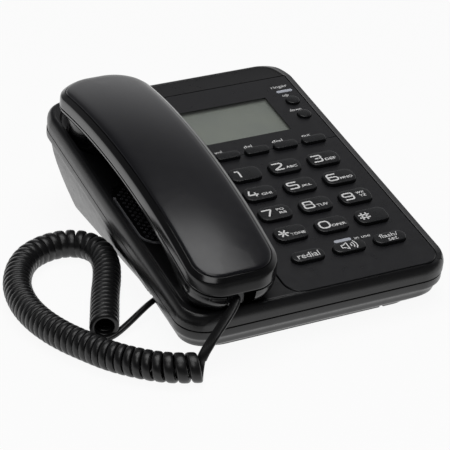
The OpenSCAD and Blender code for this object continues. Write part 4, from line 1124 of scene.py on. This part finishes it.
# %% Rings of the handset
HANDSET_REAR = 94.5
HANDSET_NOSE = 100
EAR_WIDE = 50
NOSE_WIDE = 47
EAR_CORNER = 20
NOSE_CORNER = 16
ARCH_RADIUS = 390
ARCH_HIGH = 21.4
ARCH_MIDDLE = -11
GRIP_DEEP = 6.5
SWELL = 8.5
SWELL_LONG = 56
SWELL_POWER = 2.2
MOUTH_FLOOR = 4.4
NOSE_IN = 1.2
COVER_HIGH = 8.1
CROWN_HIGH = 2.1
CROWN_FROM = 3
CROWN_BAND = 4
BORDER = 3
CLOSING = [0.0, 0.35, 0.7]
CORNER_STEPS = 18
SIDE_STEPS = 44


def arch(y):
    """Height of the handset's parting line at y."""
    return ARCH_HIGH - ARCH_RADIUS + math.sqrt(ARCH_RADIUS ** 2 - (y - ARCH_MIDDLE) ** 2)


def under(y):
    """Depth of the body below the parting line at y: it swells towards the mouth."""
    if y > ARCH_MIDDLE:
        return GRIP_DEEP
    swell = SWELL * ((ARCH_MIDDLE - y) / SWELL_LONG) ** SWELL_POWER
    return min(GRIP_DEEP + swell, arch(y) + MOUTH_FLOOR)


def outline(inset, nose):
    """The handset's plan from the rear round its right side to the nose and back, set in."""
    ear_x = EAR_WIDE / 2 - EAR_CORNER
    ear_y = HANDSET_REAR - EAR_CORNER
    nose_x = NOSE_WIDE / 2 - NOSE_CORNER
    nose_y = NOSE_CORNER - nose
    half = arc(ear_x, ear_y, EAR_CORNER - inset, 90, -90, CORNER_STEPS)
    for i in range(1, SIDE_STEPS):
        u = i / SIDE_STEPS
        x = (1 - u) * EAR_WIDE / 2 + u * NOSE_WIDE / 2 - inset
        half.append((x, (1 - u) * ear_y + u * nose_y))
    half += arc(nose_x, nose_y, NOSE_CORNER - inset, 0, -90, CORNER_STEPS)
    return half + [(-x, y) for x, y in reversed(half)]


def ring(inset, part, lift, narrow=1.0, shorten=0.0):
    """A ring at a part of the body's depth, lifted, and drawn in towards the middle line by narrow.

    Rings near the top also follow the crown across the handset. A ring that is drawn in may also be
    shortened, so that the last faces at its ends keep some area."""
    nose = HANDSET_NOSE - NOSE_IN * inset if part > 0 else HANDSET_NOSE
    dome = CROWN_HIGH * eased((lift - CROWN_FROM) / CROWN_BAND)
    made = []
    for x, y in outline(inset, nose):
        x = x * narrow
        y = y * (1 - shorten * (1 - narrow))
        crown = dome * (1 - (2 * x / EAR_WIDE) ** 2)
        made.append((x, y, arch(y) - part * under(y) + lift + crown))
    return made


def handset_skin(name, rings):
    """A closed skin through rings of the handset."""
    return ring_skin(name, [[FACE @ mm(CRADLE_X + x, y, z) for x, y, z in row] for row in rings])


def curve_through(points, steps):
    """A smooth profile through pairs of numbers."""
    return [(p.x, p.y) for p in smooth_line([Vector((a, b, 0)) for a, b in points], steps)]


print("points round the handset", len(outline(0, HANDSET_NOSE)))

# %% [markdown]
# The cover stands on the parting line, rises steeply and leans in to a slanting border. The inlay fills
# the border with a small gap and a low crown, which bends the reflections softly. Cover and body are set
# back where they meet, so a dark line shows between them.

# %% Handset cover and inlay
SEAT = 6.3
BORDER_HIGH = 7.24
HOLLOW_IN = 5.2
HOLLOW_HIGH = SEAT - 2.2
INLAY_EDGE = BORDER + 0.4
INLAY_LOW = SEAT + 0.075
INLAY_CROWN = 0.28
INLAY_FLAT = 10
INLAY_SHORT = 0.08
INLAY_CLOSING = (0.8, 0.6, 0.4, 0.2, 0.0)
cover_round = curve_through([
    (0, 0.95), (0.03, 2.2), (0.08, 3.6), (0.16, 4.8), (0.32, 5.55), (0.56, 5.95), (0.95, 6.22),
    (1.5, 6.52), (2.1, 6.85), (2.8, 7.22)], steps=4)
cover_profile = [(HOLLOW_IN, HOLLOW_HIGH), (3, SEAT - 4), (2.6, 0.4), (0.45, 0.4), (0.1, 0.5)]
cover_profile += cover_round
cover_profile += [(2.94, BORDER_HIGH), (BORDER, BORDER_HIGH - 0.15), (BORDER, SEAT)]
cover_rings = [ring(HOLLOW_IN, 0, HOLLOW_HIGH, s) for s in CLOSING]
cover_rings += [ring(inset, 0, high) for inset, high in cover_profile]
cover_rings += [ring(BORDER, 0, SEAT, s) for s in reversed(CLOSING)]
handset_cover = handset_skin("handset_cover_shell", cover_rings)

inlay_profile = [(0, INLAY_LOW - COVER_HIGH), (0, -0.65), (0.12, -0.5)]
inlay_profile += curve_through([(0.25, -0.36), (0.9, -0.08), (2, 0.14), (4, INLAY_CROWN)], steps=3)
inlay_profile += [(6, INLAY_CROWN), (8, INLAY_CROWN), (INLAY_FLAT, INLAY_CROWN)]
inlay_rings = [ring(INLAY_EDGE, 0, INLAY_LOW, s) for s in CLOSING]
inlay_rings += [ring(INLAY_EDGE + inset, 0, COVER_HIGH + high) for inset, high in inlay_profile]
for narrow in INLAY_CLOSING:
    flat_ring = ring(INLAY_EDGE + INLAY_FLAT, 0, COVER_HIGH + INLAY_CROWN, narrow, INLAY_SHORT)
    inlay_rings.append(flat_ring)
handset_inlay = handset_skin("handset_inlay_plate", inlay_rings)
for piece, material, slot, name in (
        (handset_cover, handset_abs, "handset_black", "handset_cover"),
        (handset_inlay, gloss_abs, "handset_gloss", "handset_inlay")):
    smooth(piece, degrees=35)
    wear(piece, material)
    stand_for(piece, "handset", name)
print("cover and inlay faces", len(handset_cover.data.polygons), len(handset_inlay.data.polygons))

# %% [markdown]
# The body hangs below the parting line and swells towards the mouth. The round ear cup is a skin through
# circles that flares up to the body's sides, and it is united with the body. Sound holes and the mouth
# of the socket are cut out of it.

# %% Handset body
CUP_MIDDLE = 69
CUP_LOW = -8
CUP_NECK = 1
CUP_LEAN = 0.6
CUP_SIDES = 96
TOP_IN = 2.2
TOP_LIFT = -0.2
BODY_TOP = ((TOP_IN, TOP_LIFT), (0.45, -0.3), (0.1, -0.4), (0.02, -0.65))
BODY_DROP = -0.15
BODY_FLAT = 7.5
CUP_FULL = 0.93
HOLE_WIDE = 2
HOLE_DEEP = 2.2
HOLE_REACH = 6
HOLES_AROUND = 6
PLUG_MOUTH = ((CRADLE_X - 8.3, -101.5, 1.79), (CRADLE_X + 7.1, -82.2, 12.2))

body_round = curve_through([(0, 0.0), (0.5, 0.35), (2.2, 0.7), (5, 0.94), (BODY_FLAT, 1)], steps=5)
body_rings = [ring(TOP_IN, 0, TOP_LIFT, s) for s in CLOSING]
body_rings += [ring(inset, 0, lift) for inset, lift in BODY_TOP]
body_rings += [ring(inset, part, BODY_DROP) for inset, part in body_round[1:]]
body_rings += [ring(BODY_FLAT, 1, BODY_DROP, s) for s in reversed(CLOSING)]
handset_body = handset_skin("handset_body_shell", body_rings)
cup_foot = curve_through([
    (0, CUP_LOW), (9, CUP_LOW), (18, CUP_LOW), (20.8, CUP_LOW + 0.9), (21.8, -5.4), (22, -3.5),
    (22, -1), (22.2, CUP_NECK)], steps=4)
cup_flare = curve_through(
    [(22.2, 0), (22.8, 0.3), (23.6, 0.6), (24.2, 0.8), (24.7, CUP_FULL)], steps=4)
cup_flare += [(r, CUP_FULL) for r in (24.4, 16, 8, 0)]
around = [2 * math.pi * i / CUP_SIDES for i in range(CUP_SIDES)]
cup_rings = []
for r, z in cup_foot:
    cup_rings.append([(r * math.cos(a), CUP_MIDDLE + r * math.sin(a), z) for a in around])
for r, part in cup_flare[1:]:
    spots = [(r * math.cos(a), CUP_MIDDLE - CUP_LEAN + r * math.sin(a)) for a in around]
    cup_rings.append([(x, y, CUP_NECK + part * (arch(y) - CUP_NECK)) for x, y in spots])
cut_or_join(handset_body, handset_skin("ear_cup", cup_rings), "UNION")
cut_or_join(handset_body, block(*PLUG_MOUTH), "DIFFERENCE")
hole_places = arc(CRADLE_X, CUP_MIDDLE, HOLE_REACH, 0, 360, HOLES_AROUND)[:-1]
for place in hole_places + [(CRADLE_X, CUP_MIDDLE)]:
    hole = drum(place, CUP_LOW - BEYOND, CUP_LOW + HOLE_DEEP, HOLE_WIDE / 2, sides=20)
    cut_or_join(handset_body, hole, "DIFFERENCE")
smooth(handset_body)
wear(handset_body, handset_abs)
stand_for(handset_body, "handset", "handset_body")
print("body faces", len(handset_body.data.polygons))

# %% [markdown]
# ## Loudspeaker grille
# Under the handset's grip lies the loudspeaker behind a field of small holes. A plate with round
# corners is pierced by one joined set of pins, each hole gets a tiny lip that glints in the light, and
# a raised rib with round ends runs in a U round the field. Lips and rib are a lighter grey than the
# plate, a painted highlight that makes them show bright.

# %% Loudspeaker grille
GRILLE_WIDE = 42
GRILLE_LONG = 56
GRILLE_CORNER = 12
GRILLE_Y = -5
GRILLE_TOP = -4.75
GRILLE_THICK = 1.8
GRILLE_GAP = 0.1
FIELD_IN = 3.2
HOLE_STEP = 2.05
ROW_STEP = 1.9
HALF_ROWS = 14
HALF_COLUMNS = 5
PIN_WIDE = 1.1
PIN_LONG = 6
LIP_REACH = 0.66
LIP_THICK = 0.17
RIB_IN = 0.9
RIB_HIGH = 0.1
RIB_THICK = 0.7
RIB_END = 1.15
RIB_STEPS = 10
bpy.ops.mesh.primitive_plane_add(size=1)
grille = bpy.context.object
grille.name = "speaker_grille_plate"
bpy.ops.object.mode_set(mode="EDIT")
plate_wide = (GRILLE_WIDE - 2 * GRILLE_GAP) * MM
plate_long = (GRILLE_LONG - 2 * GRILLE_GAP) * MM
bpy.ops.transform.resize(value=(plate_wide, plate_long, 1))
bpy.ops.mesh.bevel(offset=GRILLE_CORNER * MM, segments=12, affect="VERTICES")
bpy.ops.mesh.extrude_region_move(TRANSFORM_OT_translate={"value": mm(0, 0, GRILLE_THICK)})
bpy.ops.mesh.select_all(action="SELECT")
bpy.ops.transform.translate(value=mm(0, 0, -GRILLE_THICK))
bpy.ops.mesh.normals_make_consistent(inside=False)
bpy.ops.object.mode_set(mode="OBJECT")


def in_field(x, y):
    """Whether a hole lies well inside the rib."""
    over_x = max(abs(x) - (GRILLE_WIDE / 2 - GRILLE_CORNER), 0)
    over_y = max(abs(y) - (GRILLE_LONG / 2 - GRILLE_CORNER), 0)
    return math.hypot(over_x, over_y) < GRILLE_CORNER - FIELD_IN


holes = []
for j in range(-HALF_ROWS, HALF_ROWS + 1):
    for i in range(-HALF_COLUMNS, HALF_COLUMNS + 1):
        x = (2 * i + j % 2) * HOLE_STEP
        if in_field(x, j * ROW_STEP):
            holes.append((x, j * ROW_STEP))
bpy.ops.mesh.primitive_cylinder_add(vertices=10, radius=PIN_WIDE / 2 * MM, depth=PIN_LONG * MM)
pin = bpy.context.object
bpy.ops.mesh.primitive_torus_add(
    major_segments=12, minor_segments=6, major_radius=LIP_REACH * MM, minor_radius=LIP_THICK * MM)
lip = bpy.context.object


def repeated(piece, name, places):
    """One object with a copy of the piece's mesh at each place of the grille."""
    shape = bmesh.new()
    for x, y in places:
        start = len(shape.verts)
        shape.from_mesh(piece.data)
        shape.verts.ensure_lookup_table()
        for v in shape.verts[start:]:
            v.co += mm(x, y)
    mesh = bpy.data.meshes.new(name)
    shape.to_mesh(mesh)
    shape.free()
    bpy.data.objects.remove(piece)
    return linked(name, mesh)


cut_or_join(grille, repeated(pin, "pins", holes), "DIFFERENCE")
lips = repeated(lip, "lips", holes)
half_w = GRILLE_WIDE / 2 - RIB_IN
half_l = GRILLE_LONG / 2 - RIB_IN
bend = GRILLE_CORNER - RIB_IN
rib_line = [(-half_w, half_l - bend), (-half_w, 0)]
rib_line += arc(bend - half_w, bend - half_l, bend, 180, 90, RIB_STEPS)
rib_line += [(-x, y) for x, y in reversed(rib_line)]
bpy.ops.curve.primitive_bezier_curve_add()
rib = bpy.context.object
rib.data.splines.clear()
spline = rib.data.splines.new("POLY")
spline.points.add(len(rib_line) - 1)
for point, (x, y) in zip(spline.points, rib_line):
    point.co = (*mm(x, y, RIB_HIGH), 1)
rib.data.bevel_depth = RIB_THICK * MM
rib.data.bevel_resolution = 4
rib.data.use_fill_caps = True
bpy.ops.object.convert(target="MESH")
rib = bpy.context.object
ends = []
for x, y in (rib_line[0], rib_line[-1]):
    bpy.ops.mesh.primitive_uv_sphere_add(
        segments=20, ring_count=12, radius=RIB_END * MM, location=mm(x, y))
    bpy.ops.object.transform_apply()
    ends.append(bpy.context.object)
wear(grille, handset_abs)
# Painted highlight: the lips, the rib and its round ends wear the light grey so that they show bright.
for piece in (lips, rib, *ends):
    wear(piece, painted_glint_grey)
join(grille, lips, rib, *ends)
grille.data.transform(FACE @ Matrix.Translation(mm(CRADLE_X, GRILLE_Y, GRILLE_TOP)))
smooth(grille)
stand_for(grille, "base", "speaker_grille")
print("grille holes", len(holes))

# %% [markdown]
# ## Small pieces
# The sockets, plugs, screws and feet keep their solids' shapes and get soft edges. The line socket gets
# its four gilt spring wires. What lies inside the case is never seen, so it only gets its finish.

# %% Small pieces
SPRINGS = 4
SPRING_X = 20
SPRING_Y = 88
SPRING_Z = 17.2
SPRING_STEP = 1.02
SPRING_WIDE = 0.48
SPRING_LONG = 9
SPRING_SLANT = Matrix.Rotation(math.radians(-72), 4, "X")
softened("hook_plunger", inner_abs, 0.2)
for name in ("line_jack", "cord_jack", "handset_jack"):
    softened(name, socket_abs, 0.25)
for name in ("base_plug", "handset_plug"):
    softened(name, plug_smoke, 0.3)
springs = []
for i in range(SPRINGS):
    bpy.ops.mesh.primitive_cylinder_add(
        vertices=12, radius=SPRING_WIDE / 2 * MM, depth=SPRING_LONG * MM)
    spring = bpy.context.object
    from_middle = i - (SPRINGS - 1) / 2
    place = mm(SPRING_X + SPRING_STEP * from_middle, SPRING_Y, SPRING_Z)
    spring.data.transform(Matrix.Translation(place) @ SPRING_SLANT)
    springs.append(spring)
line_wires = join(*springs)
line_wires.name = "line_socket_wires"
smooth(line_wires)
wear(line_wires, gilt_wire)
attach(line_wires, "base")
softened("rubber_feet", foot_rubber, 0.2)
softened("case_screws", zinc_steel, 0.1)
softened("handset_screws", zinc_steel, 0.1)
HIDDEN = {
    "key_mat": (key_silicone, "silicone"),
    "main_board": (board_resin, "board_green"),
    "loudspeaker": (pressed_steel, "speaker_steel"),
    "hook_switch": (inner_abs, "inner_plastic"),
    "base_microphone": (capsule_felt, "microphone"),
    "handset_receiver": (pressed_steel, "speaker_steel"),
    "handset_microphone": (capsule_felt, "microphone"),
    "handset_weight": (pressed_steel, "weight_steel"),
}
for name, (material, slot) in HIDDEN.items():
    wear(nodes[name], material)
wear(curly_cord, cord_vinyl)
wear(handset_cord, cord_vinyl)
print("small pieces done")

# %% [markdown]
# ## Studio
# The telephone lies on a white floor that runs out of sight. Black plastic shows what it mirrors more
# than its own colour: the sides mirror the white floor, and the top mirrors the air above the horizon.
# So the studio is white low down, dim higher up and darkest at the upper left, with one broad soft lamp
# overhead and a weaker one in front. What is seen of the floor, straight or in a mirror, is mostly an
# even white, and the rest is lit by the lamps and keeps the shadow. A little in front of the telephone
# the mirrored floor is dim, as it is at the edge of a small white table.

# %% Floor
FLOOR_WHITE = 0.93
FLOOR_DIM = 0.12
DIM_FROM = -0.118
DIM_TO = -0.15
bpy.context.scene.view_settings.view_transform = "Standard"
bpy.ops.mesh.primitive_plane_add(size=12)
floor = bpy.context.object
floor.name = "floor"
floor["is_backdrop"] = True
white_floor, floor_tree, floor_surface = new_finish("white_studio_floor")
feed(floor_tree, floor_surface, {
    "Base Color": linear("#f4f4f4"), "Roughness": 0.9, "Specular IOR Level": 0.0})
straight = put(floor_tree, "LightPath", {}, "Is Camera Ray")
mirrored = straight.node.outputs["Is Glossy Ray"]
through = straight.node.outputs["Is Transmission Ray"]
either = put(floor_tree, "Math", {0: straight, 1: mirrored}, operation="MAXIMUM")
seen = put(floor_tree, "Math", {0: either, 1: through}, operation="MAXIMUM")
share = put(floor_tree, "Math", {0: seen, 1: FLOOR_WHITE}, operation="MULTIPLY")
place = put(floor_tree, "TexCoord", {}, "Object")
floor_y = put(floor_tree, "SeparateXYZ", {"Vector": place}, "Y")
front_fall = put(floor_tree, "MapRange", {
    "Value": floor_y, "From Min": DIM_TO, "From Max": DIM_FROM, "To Min": FLOOR_DIM, "To Max": 1.0})
strength = put(floor_tree, "Math", {0: straight, 1: front_fall}, operation="MAXIMUM")
glow = put(floor_tree, "Emission", {"Color": (1, 1, 1, 1), "Strength": strength})
blended = put(floor_tree, "MixShader", {0: share, 1: floor_surface.outputs["BSDF"], 2: glow})
feed(floor_tree, floor_tree.nodes["Material Output"], {"Surface": blended})
wear(floor, white_floor)
print("floor", floor.name)

# %% [markdown]
# The air is a ramp of greys by height. It is dimmer behind the camera, and dimmer again to the upper
# left, so that the handset and the face mirror dark there and light at the right.

# %% Air and lamps
LOWEST = (0.12, 0.92)
HIGHEST = (0.76, 0.15)
GREYS = ((0.35, 0.6), (0.44, 0.52), (0.51, 0.38), (0.6, 0.26), (0.68, 0.17))
COOL = 1.02
LEFT_DARK = 0.72
BEHIND_DIM = 0.14
air = bpy.data.worlds.new("studio_air")
bpy.context.scene.world = air
air.use_nodes = True
air_tree = air.node_tree
way = put(air_tree, "TexCoord", {}, "Generated")
to_right = put(air_tree, "SeparateXYZ", {"Vector": way}, "X")
to_rear = to_right.node.outputs["Y"]
upward = to_right.node.outputs["Z"]
shade = put(air_tree, "ValToRGB", {"Fac": upward})
steps = shade.node.color_ramp
steps.elements[0].position, grey = LOWEST
steps.elements[0].color = (grey, grey, grey, 1)
steps.elements[1].position, grey = HIGHEST
steps.elements[1].color = (grey, grey, grey * COOL, 1)
for place, grey in GREYS:
    step = steps.elements.new(place)
    step.color = (grey, grey, grey * COOL, 1)
faded = []
for value, start, stop, low, high in (
        (to_rear, -0.35, 0.25, BEHIND_DIM, 1.0),
        (to_right, 0.25, -0.02, 0.0, LEFT_DARK),
        (upward, 0.04, 0.2, 0.0, 1.0)):
    faded.append(put(air_tree, "MapRange", {
        "Value": value, "From Min": start, "From Max": stop, "To Min": low, "To Max": high},
        interpolation_type="SMOOTHSTEP"))
ahead, leftward, raised = faded
dark_left = put(air_tree, "Math", {0: leftward, 1: raised}, operation="MULTIPLY")
light_left = put(air_tree, "Math", {0: 1.0, 1: dark_left}, operation="SUBTRACT")
both_ways = put(air_tree, "Math", {0: ahead, 1: light_left}, operation="MULTIPLY")
dimmed = put(air_tree, "Mix", {"Factor": 1.0, 6: shade, 7: both_ways}, 2,
             data_type="RGBA", blend_type="MULTIPLY")
feed(air_tree, air_tree.nodes["Background"], {"Color": dimmed})


def soft_lamp(name, place, target, size, power):
    """A square soft lamp that points at a target, all in metres and watts."""
    bpy.ops.object.light_add(type="AREA", location=place)
    lamp = bpy.context.object
    lamp.name = name
    lamp.data.size = size
    lamp.data.energy = power
    lamp.rotation_euler = aimed(Vector(target) - Vector(place))


soft_lamp("overhead_lamp", (0, 0, 1.08), target=(0, 0, 0), size=0.78, power=5.2)
soft_lamp("front_lamp", (-0.42, -0.66, 0.98), target=(0, 0, 0.03), size=0.5, power=2)
print("studio ready")

# %% [markdown]
# ## Last step
# The box of the dressed model is printed, and the lesson ends.

# %% Sizes and finish
low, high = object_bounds()
print("dressed box", [round(v, 4) for v in high - low])
